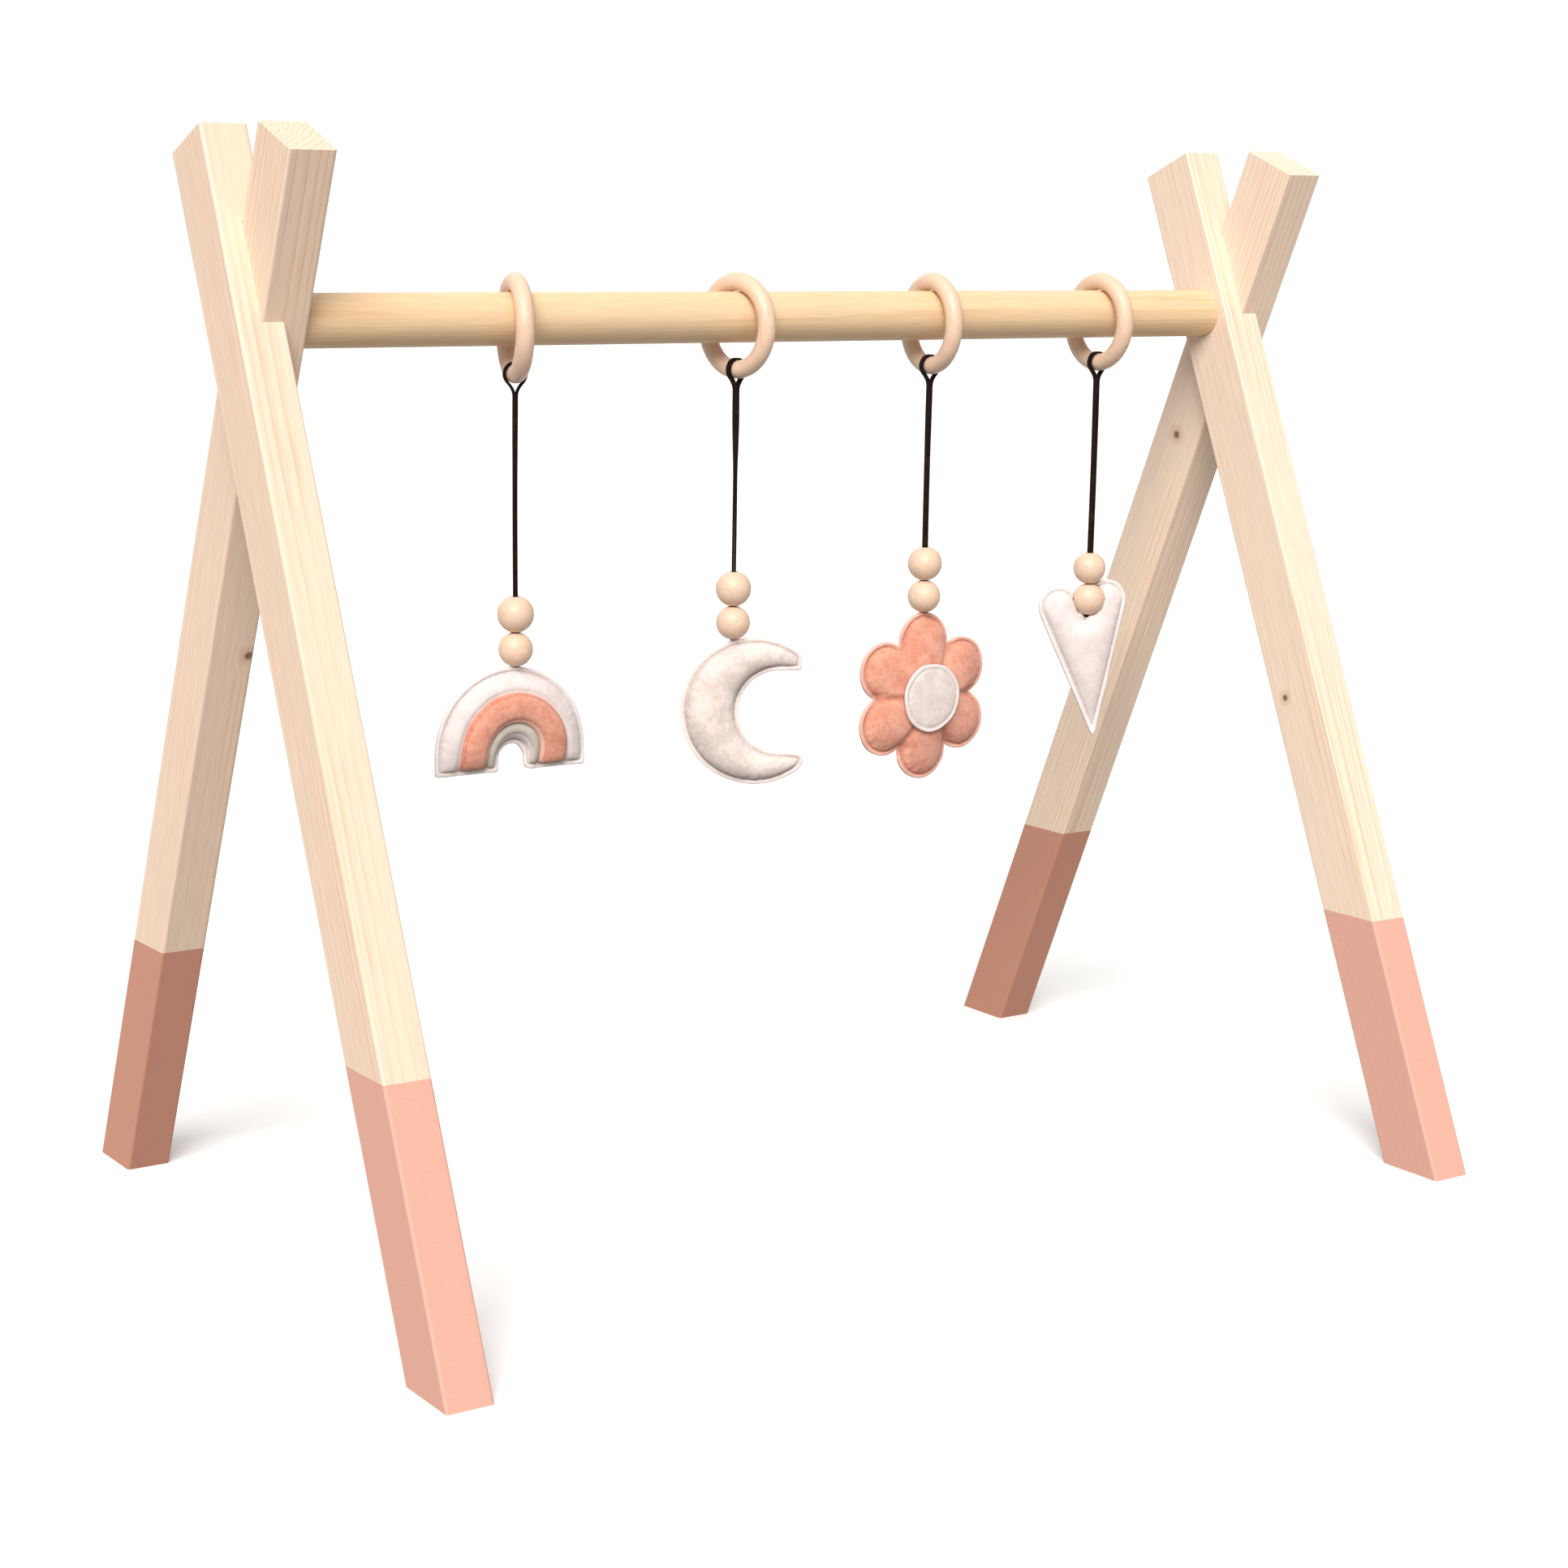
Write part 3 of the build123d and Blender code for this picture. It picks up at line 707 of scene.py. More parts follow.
def blow_up(flat, height, faces, held):
    """Cloth simulation of the sewn pair, front and back, held along the seam flange."""
    count = len(flat)
    on_rim = {i for edge in rim_edges(faces) for i in edge}
    back_index = {i: i for i in on_rim}
    free_ids = [i for i in range(count) if i not in on_rim]
    for order, i in enumerate(free_ids):
        back_index[i] = count + order
    front = np.column_stack([flat, np.where([i in on_rim for i in range(count)], 0, height)])
    back = np.column_stack([flat[free_ids], -height[free_ids]])
    points = np.vstack([front, back]) * SIM_SCALE
    lower = [tuple(back_index[i] for i in face[::-1]) for face in faces]
    pillow = make_piece("pillow", points, faces + lower, WADDING)
    group = pillow.vertex_groups.new(name="seam")
    group.add([i for i in range(count) if held[i]], 1.0, "REPLACE")
    group.add([back_index[i] for i in free_ids if held[i]], 1.0, "REPLACE")
    cloth = pillow.modifiers.new("cloth", "CLOTH")
    settings = cloth.settings
    for setting, value in CLOTH.items():
        setattr(settings, setting, value)
    settings.vertex_group_mass = "seam"
    settings.effector_weights.gravity = 0
    scene = bpy.context.scene
    for number in range(1, SIM_FRAMES + 1):
        scene.frame_set(number)
    evaluated = pillow.evaluated_get(bpy.context.evaluated_depsgraph_get())
    moved = np.zeros(len(points) * 3)
    evaluated.to_mesh().vertices.foreach_get("co", moved)
    evaluated.to_mesh_clear()
    moved = moved.reshape(-1, 3)
    shift = moved - points
    far = np.linalg.norm(shift, axis=1) / SIM_SCALE
    shift *= np.minimum(1, SIM_CAP / np.maximum(far, 1e-9))[:, None]
    points = (points + shift) / SIM_SCALE
    bpy.data.objects.remove(pillow)
    scene.frame_set(1)
    back_points = points[[back_index[i] for i in range(count)]] * np.array([1, 1, -1])
    return points[:count], back_points


def bump_profile(value, centre, width):
    return np.exp(-(((value - centre) / width) ** 2))


def value_noise(points, size, seed):
    """Smooth repeatable noise from -1 to 1 over the plane."""
    source = np.random.default_rng(seed)
    table = source.uniform(-1, 1, (64, 64))
    spots = points / size + 20
    cell = np.floor(spots).astype(int)
    share = spots - cell
    share = share * share * (3 - 2 * share)
    i, j = (cell % 64).T
    k, l = (cell + 1).T % 64
    return bilinear(table, i, j, k, l, *share.T)


def seam_shape(flat, outline, distance, seed, depth):
    """Height lost to puckers and stitch dimples beside the seam."""
    gap = flat[:, None, :] - outline[None]
    nearest = (gap**2).sum(2).argmin(1)
    along = run_along(outline)[nearest]
    phase = 1.6 * value_noise(flat, 9 * MM, seed)
    pucker = 0.5 + 0.5 * np.sin(along * 2 * math.pi / (6.5 * MM) + 2 * phase)
    past = distance - SEAM
    fade = np.clip(past / (1.2 * MM), 0, 1) * np.exp(-np.clip(past, 0, None) / (4.2 * MM))
    dimple = 0.5 + 0.5 * np.cos(along * 2 * math.pi / (3.0 * MM))
    near_stitch = bump_profile(distance, SEAM, 0.8 * MM)
    uneven = np.clip(0.55 + 0.75 * value_noise(flat, 17 * MM, seed + 5), 0.05, 1)
    return depth * MM * pucker * fade * uneven + 0.12 * MM * dimple * near_stitch


def flange_height(distance):
    """Outer surface of one felt, from its cut edge to the stitched fold."""
    rounded = 1 - 0.30 * np.exp(-distance / (0.35 * MM))
    pinch = np.clip((distance - 1.1 * MM) / (SEAM - 1.1 * MM), 0, 1)
    return FELT * rounded * (1 - pinch**2) + CREASE * pinch**2


def toy_matrix(name, toy):
    """Toy's own frame: X to its right, Y up and Z out of its front."""
    turn = math.radians(toy["turn"])
    roll = math.radians(toy["roll"])
    low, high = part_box(f"{name}_lace_strands")
    right = Vector((math.cos(turn), -math.sin(turn), 0))
    front = Vector((-math.sin(turn), -math.cos(turn), 0))
    rise = Vector((0, 0, 1))
    seat = Vector(((low.x + high.x) / 2, (low.y + high.y) / 2, low.z - 0.3 * MM))
    origin = seat + right * toy["shift"][0] * MM + rise * toy["shift"][1] * MM
    across = right * math.cos(roll) + rise * math.sin(roll)
    up = rise * math.cos(roll) - right * math.sin(roll)
    matrix = Matrix((across, up, front)).transposed().to_4x4()
    matrix.translation = origin
    return matrix


def clear_bead(points, name, matrix, extra):
    """Move what would lie inside the lower bead out to its surface, mostly backwards."""
    low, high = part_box(f"{name}_lower_bead")
    centre = np.array(matrix.inverted() @ ((low + high) / 2))
    radius = (high.x - low.x) / 2 + extra
    gap = points - centre
    inside = np.linalg.norm(gap, axis=1) < radius
    push = gap[inside] + np.array([0, 0, -9.0 * MM])
    points = points.copy()
    points[inside] = centre + push / np.linalg.norm(push, axis=1)[:, None] * radius
    return points


def to_world(points, matrix):
    array = np.array(matrix)
    return points @ array[:3, :3].T + array[:3, 3]


def mark(piece, name, values):
    attribute = piece.data.attributes.new(name, "FLOAT", "POINT")
    attribute.data.foreach_set("value", np.asarray(values, np.float32))


def surface_tree(points, faces):
    return BVHTree.FromPolygons([tuple(p) for p in points], faces)


def heights_on(tree, spots):
    found = []
    for x, y in spots:
        hit = tree.ray_cast(Vector((x, y, 0.1)), Vector((0, 0, -1)))[0]
        found.append(CREASE if hit is None else hit.z)
    return np.array(found)


def tube_faces(rows, sides, first=0):
    """Faces of a closed tube whose points lie row by row."""
    faces = []
    for row in range(rows - 1):
        for number in range(sides):
            here = first + row * sides + number
            there = first + row * sides + (number + 1) % sides
            faces.append((here, there, there + sides, here + sides))
    faces.append(tuple(first + number for number in range(sides))[::-1])
    faces.append(tuple(first + (rows - 1) * sides + number for number in range(sides)))
    return faces


STITCH_PITCH = 3.0 * MM
STITCH_LENGTH = 2.1 * MM
STITCH_RADIUS = 0.21 * MM
STITCH_LIFT = 0.16 * MM
STITCH_SIDES = 6
STITCH_ROWS = 5


def stitches(name, path, matrix, tree, body, material, side=1):
    """A row of short thread stitches along a path on a surface, in the toy's frame."""
    run = run_along(path)
    points, faces = [], []
    arch = np.sin(np.linspace(0, math.pi, STITCH_ROWS))
    for begin in np.arange(0.4 * MM, run[-1] - STITCH_LENGTH, STITCH_PITCH):
        places = begin + np.linspace(0, STITCH_LENGTH, STITCH_ROWS)
        spots = np.column_stack([np.interp(places, run, path[:, axis]) for axis in (0, 1)])
        level = heights_on(tree, spots).min() + STITCH_LIFT * (arch * 2.0 - 0.8)
        way = spots[-1] - spots[0]
        way = way / max(np.linalg.norm(way), 1e-9)
        across = np.array([-way[1], way[0]])
        faces += tube_faces(STITCH_ROWS, STITCH_SIDES, len(points))
        for row in range(STITCH_ROWS):
            thin = STITCH_RADIUS * (0.45 + 0.55 * arch[row])
            for number in range(STITCH_SIDES):
                angle = 2 * math.pi * number / STITCH_SIDES
                flat = spots[row] + across * thin * math.cos(angle)
                points.append((flat[0], flat[1], level[row] + thin * math.sin(angle)))
    points = np.array(points)
    points[:, 2] *= side
    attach(make_piece(name, to_world(points, matrix), faces, material), body)


def horseshoe_radius(points):
    """Distance from the arch's centre, counted sideways below it."""
    return np.where(points[:, 1] > 0, np.hypot(points[:, 0], points[:, 1]), np.abs(points[:, 0]))


def front_relief(name, flat):
    """Seams and folds in the middle of a toy's front, taken off its height."""
    if name == "rainbow":
        radius = horseshoe_radius(flat)
        return 1.5 * MM * bump_profile(radius, RAINBOW_CORAL, 1.9 * MM) + 2.0 * MM * bump_profile(
            radius, RAINBOW_INNER, 1.9 * MM
        )
    if name == "flower":
        relief = np.zeros(len(flat))
        radius = np.hypot(flat[:, 0], flat[:, 1])
        angle = np.degrees(np.arctan2(flat[:, 1], flat[:, 0]))
        for number in range(PETALS):
            middle = 60 + 360 / PETALS * number
            off = np.radians((angle - middle + 180) % 360 - 180) * radius
            reach = np.clip((radius - 13 * MM) / (14 * MM), 0, 1)
            relief += 2.6 * MM * np.exp(-((off / (2.3 * MM)) ** 2)) * reach
        return relief
    return np.zeros(len(flat))


FELTS = {
    "rainbow": ("white_felt", WHITE, WHITE_THREAD),
    "moon": ("grey_felt", GREY, GREY_THREAD),
    "flower": ("coral_felt", CORAL, CORAL_THREAD),
    "heart": ("white_felt", WHITE, WHITE_THREAD),
}


def padded_piece(name, points, faces, material, node, body):
    """A stuffed or felted piece that stands for a CAD node and rides on its body."""
    piece = make_piece(name, points, faces, material)
    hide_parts(node)
    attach(piece, body)
    return piece


def make_toy(name, toy, seed):
    """The sewn felt toy: front, back, stuffing and the stitched seam."""
    outline = OUTLINES[name]()
    if name != "heart":
        outline = seat_bead(outline, toy)
    flat, faces = lay_out(outline, SEAM_RINGS)
    distance = edge_distance(flat, outline)
    puff = toy["puff"] * MM
    grid = grid_swell(outline, SEAM)
    rise = CREASE + (0.88 * puff - CREASE) * read_grid(flat, grid)
    height = np.where(distance <= SEAM * 1.01, flange_height(distance), np.maximum(rise, CREASE))
    held = distance <= SEAM * 1.01
    front = np.column_stack([flat, height])
    back = front.copy()
    front, back = blow_up(flat, height, faces, held)
    for sheet in (front, back):
        sheet[held] = np.column_stack([flat, height])[held]
    lost = seam_shape(flat, outline, distance, seed, toy["pucker"])
    slack = 0.35 * MM * value_noise(flat, 13 * MM, seed + 1) * np.clip((distance - SEAM) / (6 * MM), 0, 1)
    relief = front_relief(name, flat)
    back_relief = relief if name == "flower" else 0
    for sheet, folds, give in ((front, relief, slack), (back, back_relief, -slack)):
        sheet[:, 2] = np.clip(sheet[:, 2] - lost - folds + give, CREASE * 0.8, puff + BULGE_LIMIT)
    if name == "flower":
        under_disc = np.hypot(flat[:, 0], flat[:, 1]) < DISC_RADIUS - 2 * MM
        front[under_disc, 2] = np.minimum(front[under_disc, 2], puff - 0.9 * MM)
    wave = 0.45 * MM * value_noise(flat, 11 * MM, seed + 2) * np.exp(-((distance / (4 * MM)) ** 2))
    matrix = toy_matrix(name, toy)
    slot, material, sewing = FELTS[name]
    body = f"{name}_toy"
    # Paler cut edge, partly the felt's own tone and partly painted highlight.
    rim_tone_and_highlight = 1 - np.clip((distance - 0.4 * MM) / (SEAM - 0.6 * MM), 0, 1)
    # Painted shade along the stitched seam.
    painted_shade = bump_profile(distance, SEAM, 0.55 * MM)
    # On the flower, painted shade also in the valleys between the petals.
    if name == "flower":
        painted_shade = np.clip(painted_shade + 0.6 * relief / (2.6 * MM), 0, 1)
    tree = surface_tree(front, faces)
    # Painted shade on the parts of the front that face down.
    underside_shade = downhill(front, faces)
    for which, sheet, side in (("front", front, 1), ("back", back, -1)):
        outer = sheet * np.array([1, 1, side])
        inner = sheet.copy()
        inner[:, 2] = np.clip(sheet[:, 2] - FELT, 0.02 * MM, None)
        inner = inner * np.array([1, 1, side])
        outer[:, 2] += wave
        inner[:, 2] += wave
        if name == "heart":
            margin = 0.4 * MM if side > 0 else 2.6 * MM
            inner = clear_bead(inner, name, matrix, margin + (FELT if side > 0 else 0))
            outer = clear_bead(outer, name, matrix, margin + (0 if side > 0 else FELT))
        shell_faces = faces if side > 0 else [face[::-1] for face in faces]
        points, shell = closed_shell(outer, inner, shell_faces)
        points = to_world(points, matrix)
        node = f"{name}_{which}_felt"
        piece = padded_piece(f"{name}_felt_{which}", points, shell, material, node, body)
        mark(piece, "rim_tone_and_highlight", np.tile(rim_tone_and_highlight, 2))
        mark(piece, "painted_shade", np.tile(np.clip(painted_shade + 0.55 * underside_shade, 0, 1), 2))
    make_stuffing(name, front, back, faces, distance, matrix, body)
    ring = offset_ring(outline, SEAM)
    path = np.vstack([ring, ring[:1]])
    stitches(f"{name}_seam_front", path, matrix, tree, body, sewing)
    stitches(f"{name}_seam_back", path, matrix, surface_tree(back, faces), body, sewing, side=-1)
    return matrix, tree


def downhill(sheet, faces):
    """How far each point of a sheet looks down, from 0 to 1."""
    corners = sheet[np.array(faces)]
    normals = np.cross(corners[:, 1] - corners[:, 0], corners[:, 2] - corners[:, 0])
    total = np.zeros_like(sheet)
    for place_in_face in range(3):
        np.add.at(total, np.array(faces)[:, place_in_face], normals)
    total /= np.maximum(np.linalg.norm(total, axis=1), 1e-12)[:, None]
    return np.clip(-total[:, 1] - 0.15, 0, 1)


def make_stuffing(name, front, back, faces, distance, matrix, body):
    """Loose filling that fills the space inside the felts."""
    roomy = (distance > SEAM + 1.6 * MM) & (front[:, 2] > FELT * 1.5) & (back[:, 2] > FELT * 1.5)
    chosen = [face for face in faces if all(roomy[i] for i in face)]
    used = sorted({i for face in chosen for i in face})
    index = {old: new for new, old in enumerate(used)}
    chosen = [tuple(index[i] for i in face) for face in chosen]
    top, bottom = front[used].copy(), back[used].copy()
    top[:, 2] = np.maximum(top[:, 2] - FELT - 0.3 * MM, 0.1 * MM)
    bottom[:, 2] = -np.maximum(bottom[:, 2] - FELT - 0.3 * MM, 0.1 * MM)
    if name == "heart":
        top = clear_bead(top, name, matrix, 2.0 * MM)
        bottom = clear_bead(bottom, name, matrix, 2.3 * MM)
    points, shell = closed_shell(top, bottom, chosen)
    points = to_world(points, matrix)
    padded_piece(f"{name}_stuffing", points, shell, WADDING, f"{name}_filling", body)


def make_patch(name, node, outline, tree, matrix, slot, material, body, lift, top_height):
    """Felt sewn on a toy's front: it follows the front's surface and has a rounded cut edge."""
    rings = [0.4 * MM, 0.9 * MM, 1.4 * MM, 1.9 * MM, 2.5 * MM, 3.3 * MM]
    flat, faces = lay_out(outline, rings)
    distance = edge_distance(flat, outline)
    under = heights_on(tree, flat)
    top = top_height(flat, distance, under)
    bottom = np.minimum(under - 0.25 * MM, top - 0.3 * MM) if lift is None else top - lift
    points, shell = closed_shell(np.column_stack([flat, top]), np.column_stack([flat, bottom]), faces)
    piece = padded_piece(name, to_world(points, matrix), shell, material, node, body)
    return piece, flat, faces, distance, top


def arch_outline(outer, inner, base):
    points = [(-outer, base), (-inner, base)] + arc((0, 0), inner, 180, 0)
    points += [(inner, base), (outer, base)] + arc((0, 0), outer, 0, 180)
    return ease(ease(resample(points), (-outer, base), 2 * MM, 3), (outer, base), 2 * MM, 3)


def make_bands(front_tree, matrix):
    """The rainbow's coral and grey-beige bands, each puffed between its seams."""
    body = "rainbow_toy"
    base = -RAINBOW_LEG + SEAM + 0.3 * MM

    def coral_top(flat, distance, under):
        radius = horseshoe_radius(flat)
        edge = 0.35 + 0.65 * np.clip(distance / (0.7 * MM), 0, 1) ** 0.6
        across = np.clip((RAINBOW_CORAL - radius) / (RAINBOW_CORAL - RAINBOW_INNER), 0, 1)
        crown = 0.9 * MM * np.sin(math.pi * across) ** 0.8
        dip = 0.45 * MM * bump_profile(radius, RAINBOW_INNER + 2.1 * MM, 0.5 * MM)
        dip += 0.35 * MM * bump_profile(radius, RAINBOW_CORAL - 1.3 * MM, 0.5 * MM)
        raised = 0.5 * MM * bump_profile(radius, RAINBOW_INNER + 0.9 * MM, 0.9 * MM)
        return under + 1.1 * MM * edge + crown - dip + raised

    def inner_top(flat, distance, under):
        edge = 0.3 + 0.7 * np.clip(distance / (0.7 * MM), 0, 1) ** 0.6
        return under + 0.7 * MM * edge

    coral = arch_outline(RAINBOW_CORAL, RAINBOW_INNER, base)
    names = "rainbow_coral_arch", "rainbow_coral_band"
    piece, flat, faces, distance, top = make_patch(
        *names, coral, front_tree, matrix, "coral_felt", CORAL, body, None, coral_top
    )
    radius = horseshoe_radius(flat)
    # Painted shade at the band's seams and edges, and more towards its lower ends.
    painted_shade = bump_profile(radius, RAINBOW_CORAL - 1.3 * MM, 0.55 * MM)
    painted_shade += bump_profile(radius, RAINBOW_CORAL, 0.5 * MM)
    painted_shade += 0.8 * bump_profile(radius, RAINBOW_INNER + 2.1 * MM, 0.5 * MM)
    painted_shade += 0.7 * np.clip((-1 * MM - flat[:, 1]) / (8 * MM), 0, 1)
    # Paler line along the raised inner edge, partly painted highlight.
    rim_tone_and_highlight = bump_profile(radius, RAINBOW_INNER + 0.7 * MM, 1.0 * MM)
    mark(piece, "rim_tone_and_highlight", np.tile(np.clip(rim_tone_and_highlight * 1.5, 0, 1), 2))
    mark(piece, "painted_shade", np.tile(np.clip(painted_shade, 0, 1), 2))
    on_coral = surface_tree(np.column_stack([flat, top]), faces)
    for which, seam_radius in (("outer", RAINBOW_CORAL - 1.3 * MM), ("inner", RAINBOW_INNER + 2.1 * MM)):
        foot = base + 1 * MM
        row = [(-seam_radius, foot)] + arc((0, 0), seam_radius, 180, 0) + [(seam_radius, foot)]
        stitches(f"rainbow_coral_{which}_stitches", np.array(row), matrix, on_coral, body, CORAL_THREAD)
    inner = arch_outline(RAINBOW_INNER - 0.1 * MM, OPENING_RADIUS + 2.9 * MM, base)
    names = "rainbow_inner_arch", "rainbow_inner_band"
    piece, flat, *_ = make_patch(
        *names, inner, front_tree, matrix, "beige_felt", BEIGE, body, None, inner_top
    )
    shaded = np.clip((horseshoe_radius(flat) - OPENING_RADIUS) / (RAINBOW_INNER - OPENING_RADIUS), 0, 1)
    mark(piece, "rim_tone_and_highlight", np.zeros(2 * len(flat)))
    mark(piece, "painted_shade", np.tile(0.8 * shaded**2, 2))


def make_disc(matrix):
    """The flower's middle: a stiff felt disc that stands a little proud, stitched inside its pale edge,
    which is partly painted highlight.
    """
    outline = []
    for a in np.linspace(0, 2 * math.pi, 100, endpoint=False):
        uneven = DISC_RADIUS + 0.25 * MM * math.sin(3 * a + 0.8) + 0.15 * MM * math.sin(7 * a)
        outline.append((uneven * math.cos(a), uneven * math.sin(a)))
    outline = np.array(outline)
    puff = TOYS["flower"]["puff"] * MM
    seam = 2.6 * MM

    def disc_top(flat, distance, under):
        radius = np.hypot(flat[:, 0], flat[:, 1])
        edge = 0.45 + 0.55 * np.clip(distance / (0.5 * MM), 0, 1) ** 0.6
        swell = 0.9 * MM * np.clip(1 - (radius / (DISC_RADIUS - seam)) ** 2, 0, 1) ** 0.7
        dip = 0.55 * MM * bump_profile(distance, seam, 0.5 * MM)
        return puff - 0.1 * MM + 1.0 * MM * edge + swell - dip + 0.15 * MM * value_noise(flat, 6 * MM, 77)

    empty_tree = surface_tree(np.array([(0, 0, 0), (1, 0, 0), (0, 1, 0)]), [(0, 1, 2)])
    names = "flower_disc_felt", "flower_disc"
    piece, flat, faces, distance, top = make_patch(
        *names, outline, empty_tree, matrix, "grey_felt", GREY, "flower_toy", 1.0 * MM, disc_top
    )
    # Paler edge and a lighter tone over the whole disc; the edge is partly painted highlight.
    rim_tone_and_highlight = 1 - np.clip((distance - 1.6 * MM) / (1.2 * MM), 0, 1)
    mark(piece, "rim_tone_and_highlight", np.tile(np.maximum(rim_tone_and_highlight, 0.35), 2))
    # Painted shade in the stitched dip.
    mark(piece, "painted_shade", np.tile(0.35 * bump_profile(distance, seam, 0.45 * MM), 2))
    ring = offset_ring(outline, seam)
    on_disc = surface_tree(np.column_stack([flat, top]), faces)
    stitches("flower_disc_stitches", np.vstack([ring, ring[:1]]), matrix, on_disc, "flower_toy", GREY_THREAD)


for seed, (toy_name, toy_data) in enumerate(TOYS.items()):
    toy_frame, front_tree = make_toy(toy_name, toy_data, 10 * seed + 3)
    if toy_name == "rainbow":
        make_bands(front_tree, toy_frame)
    if toy_name == "flower":
        make_disc(toy_frame)

# ---- laces


def lace_route(name, toy):
    """Control points of a folded lace: up from the toy, round the ring's tube and down again."""
    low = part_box(f"{name}_lace_strands")[0]
    middle = middle_of(f"{name}_ring")
    tube_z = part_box(f"{name}_ring")[0].z + RING_TUBE
    turn = math.radians(RING_TURNS[name])
    normal = Vector((math.cos(turn), math.sin(turn), 0))
    half = STRAND_SPACING / 2
    fork_angle = math.asin(LOOP_RADIUS / FORK_DROP)
    step = (math.pi + 2 * fork_angle) / LOOP_CORNERS
    corner_radius = LOOP_RADIUS / math.cos(step / 2)
    first = math.pi + fork_angle - step / 2
    wrapped = []
    for number in range(LOOP_CORNERS):
        angle = first - step * number
        across, up = corner_radius * math.cos(angle), corner_radius * math.sin(angle)
        wrapped.append(Vector((middle.x, middle.y, tube_z + up)) + normal * across)

    def strand(side):
        """One half's points, from the fork down to the toy."""
        points = []
        foot = low.z - (LACE_INTO_HEART if name == "heart" else LACE_INTO_TOY)
        for level in (-FORK_DROP, -LOOP_TAIL, -36 * MM, -80 * MM):
            points.append(side_point(side, tube_z + level))
        for rise in (16 * MM, 10 * MM, 5 * MM, 0):
            points.append(side_point(side, foot + rise))
        return points

    def side_point(side, z):
        angle = turn_at(name, toy, z)
        offset = Vector((math.cos(angle), math.sin(angle), 0)) * side * half
        return Vector((middle.x, middle.y, z)) + bow_at(name, toy, z) + offset

    return strand(-1)[::-1] + wrapped + strand(1)


def share_down(name, z):
    """0 at the fork, 1 at the beads."""
    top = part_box(f"{name}_lace_strands")[1].z - 4 * MM
    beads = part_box(f"{name}_upper_bead")[1].z
    return min(1.0, max(0.0, (top - z) / (top - beads)))


def turn_at(name, toy, z):
    share = min(1.0, share_down(name, z) * 2.2)
    share = share * share * (3 - 2 * share)
    turned = RING_TURNS[name] + (toy["twist"] - RING_TURNS[name]) * share
    if name != "heart":
        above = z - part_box(f"{name}_lace_strands")[0].z
        into_seam = min(1.0, max(0.0, 1 - above / LACE_TWIST_LENGTH))
        turned += (90 - toy["turn"] - toy["twist"]) * into_seam * into_seam * (3 - 2 * into_seam)
    return math.radians(turned)


def bow_at(name, toy, z):
    share = share_down(name, z)
    return Vector((toy["bow"] * MM * math.sin(math.pi * share), 0, 0))


# The lace's section with eased edges, in shares of its half width and half thickness.
SECTION = [(1.0, 0.45), (0.90, 1.0), (-0.90, 1.0), (-1.0, 0.45)]
SECTION += [(-u, -v) for u, v in SECTION]


def make_lace(name, toy):
    route = lace_route(name, toy)
    curve = bpy.data.curves.new(f"{name}_route", "CURVE")
    curve.dimensions = "3D"
    curve.resolution_u = 10
    spline = curve.splines.new("NURBS")
    spline.points.add(len(route) - 1)
    for point, spot in zip(spline.points, route):
        point.co = (*spot, 1)
    spline.order_u = 3
    spline.use_endpoint_u = True
    holder = bpy.data.objects.new(f"{name}_route", curve)
    bpy.context.scene.collection.objects.link(holder)
    bpy.context.view_layer.update()
    line_mesh = bpy.data.meshes.new_from_object(holder)
    line = np.array([tuple(v.co) for v in line_mesh.vertices])
    bpy.data.objects.remove(holder)
    bpy.data.meshes.remove(line_mesh)
    tangent = np.gradient(line, axis=0)
    tangent /= np.linalg.norm(tangent, axis=1)[:, None]
    points = []
    for spot, along in zip(line, tangent):
        angle = turn_at(name, toy, spot[2])
        width = np.array([-math.sin(angle), math.cos(angle), 0])
        width -= along * (width @ along)
        width /= np.linalg.norm(width)
        thick = np.cross(along, width)
        for u, v in SECTION:
            points.append(spot + width * u * LACE_WIDTH / 2 + thick * v * LACE_THICKNESS / 2)
    faces = tube_faces(len(line), len(SECTION))
    piece = make_piece(f"{name}_lace", points, faces, SUEDE)
    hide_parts(f"{name}_lace_loop", f"{name}_lace_strands")
    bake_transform(piece)


for toy_name, toy_data in TOYS.items():
    make_lace(toy_name, toy_data)

# ---- stage, light and camera

world = bpy.data.worlds.new("studio")
bpy.context.scene.world = world
world.use_nodes = True
world_tree = world.node_tree
ambient = world_tree.nodes["Background"]
ray = add(world_tree, "TexCoord").outputs["Generated"]
direction = add(world_tree, "SeparateXYZ", {0: ray}).outputs["Z"]
world_tree.links.new(span(world_tree, direction, -0.5, 0.35, 0.28, 0.55), ambient.inputs["Strength"])
ambient.inputs["Color"].default_value = (1.0, 0.985, 0.97, 1)
backdrop = add(world_tree, "Background", {"Color": (1, 1, 1, 1), "Strength": 1.0})
seen = add(world_tree, "LightPath").outputs["Is Camera Ray"]
choice = add(world_tree, "MixShader", {0: seen, 1: ambient.outputs[0], 2: backdrop.outputs[0]})
world_tree.links.new(choice.outputs[0], world_tree.nodes["World Output"].inputs["Surface"])

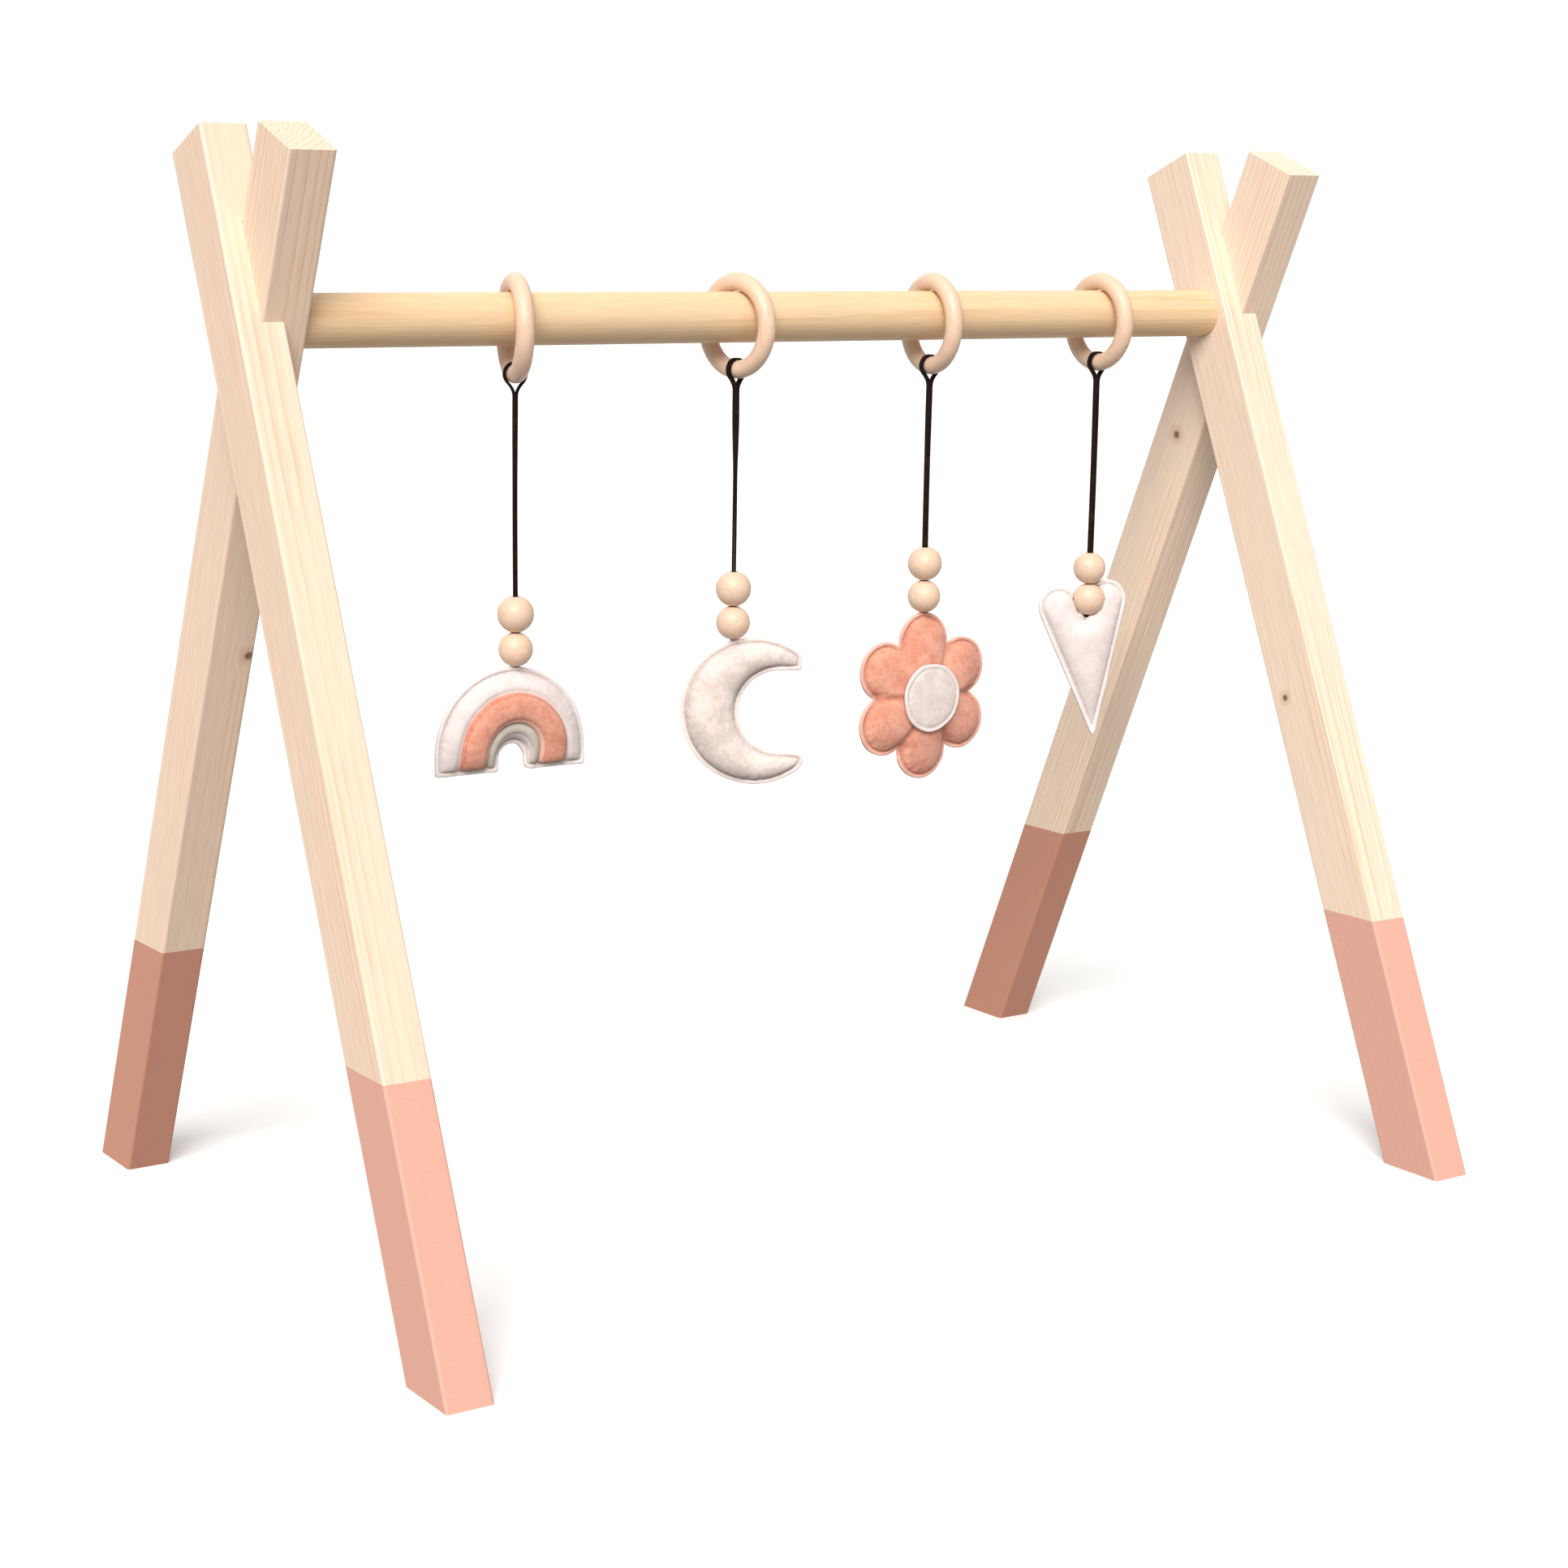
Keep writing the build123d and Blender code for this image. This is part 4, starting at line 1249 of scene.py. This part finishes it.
floor_mesh = bpy.data.meshes.new("floor")
FLOOR = 60.0
corners = [(-FLOOR, -FLOOR, 0), (FLOOR, -FLOOR, 0), (FLOOR, FLOOR, 0), (-FLOOR, FLOOR, 0)]
floor_mesh.from_pydata(corners, [], [(0, 1, 2, 3)])
floor = bpy.data.objects.new("floor", floor_mesh)
bpy.context.scene.collection.objects.link(floor)
floor_material, _, floor_shader = start("floor_paper", 0.9, Specular_IOR_Level=0.1)
floor_shader.inputs["Base Color"].default_value = (0.97, 0.97, 0.97, 1)
floor_mesh.materials.append(floor_material)
floor.visible_diffuse = False


def sun(name, toward, angle, strength, colour):
    """Even soft light from one side; toward points at it."""
    data = bpy.data.lights.new(name, "SUN")
    data.angle = math.radians(angle)
    data.energy = strength
    data.color = colour
    lamp = bpy.data.objects.new(name, data)
    lamp.rotation_mode = "QUATERNION"
    lamp.rotation_quaternion = Vector(toward).to_track_quat("Z", "Y")
    bpy.context.scene.collection.objects.link(lamp)


sun("key", (-0.518, -0.582, 0.627), 40, 3.8, (1.0, 0.99, 0.97))
sun("back_fill", (0.35, 0.80, 0.35), 60, 0.6, (1.0, 0.99, 0.98))

CAMERA_PLACE = (-0.9400, -1.3224, 0.5298)
CAMERA_YAW, CAMERA_PITCH, CAMERA_ROLL = (math.radians(angle) for angle in (32.137, -11.304, 0.323))
CAMERA_LENS = 65.42
CAMERA_SHIFT = (0.1016, 0.0241)
camera_data = bpy.data.cameras.new("camera")
camera_data.lens = CAMERA_LENS
camera_data.sensor_width = 36.0
camera_data.shift_x, camera_data.shift_y = CAMERA_SHIFT
camera = bpy.data.objects.new("camera", camera_data)
forward = Vector((
    math.sin(CAMERA_YAW) * math.cos(CAMERA_PITCH),
    math.cos(CAMERA_YAW) * math.cos(CAMERA_PITCH),
    math.sin(CAMERA_PITCH),
))
level_right = Vector((math.cos(CAMERA_YAW), -math.sin(CAMERA_YAW), 0))
level_up = level_right.cross(forward)
camera_right = level_right * math.cos(CAMERA_ROLL) + level_up * math.sin(CAMERA_ROLL)
camera_up = level_up * math.cos(CAMERA_ROLL) - level_right * math.sin(CAMERA_ROLL)
pose = Matrix((camera_right, camera_up, -forward)).transposed().to_4x4()
pose.translation = Vector(CAMERA_PLACE)
camera.matrix_world = pose
bpy.context.scene.collection.objects.link(camera)
bpy.context.scene.camera = camera
bpy.context.scene.view_settings.view_transform = "Standard"
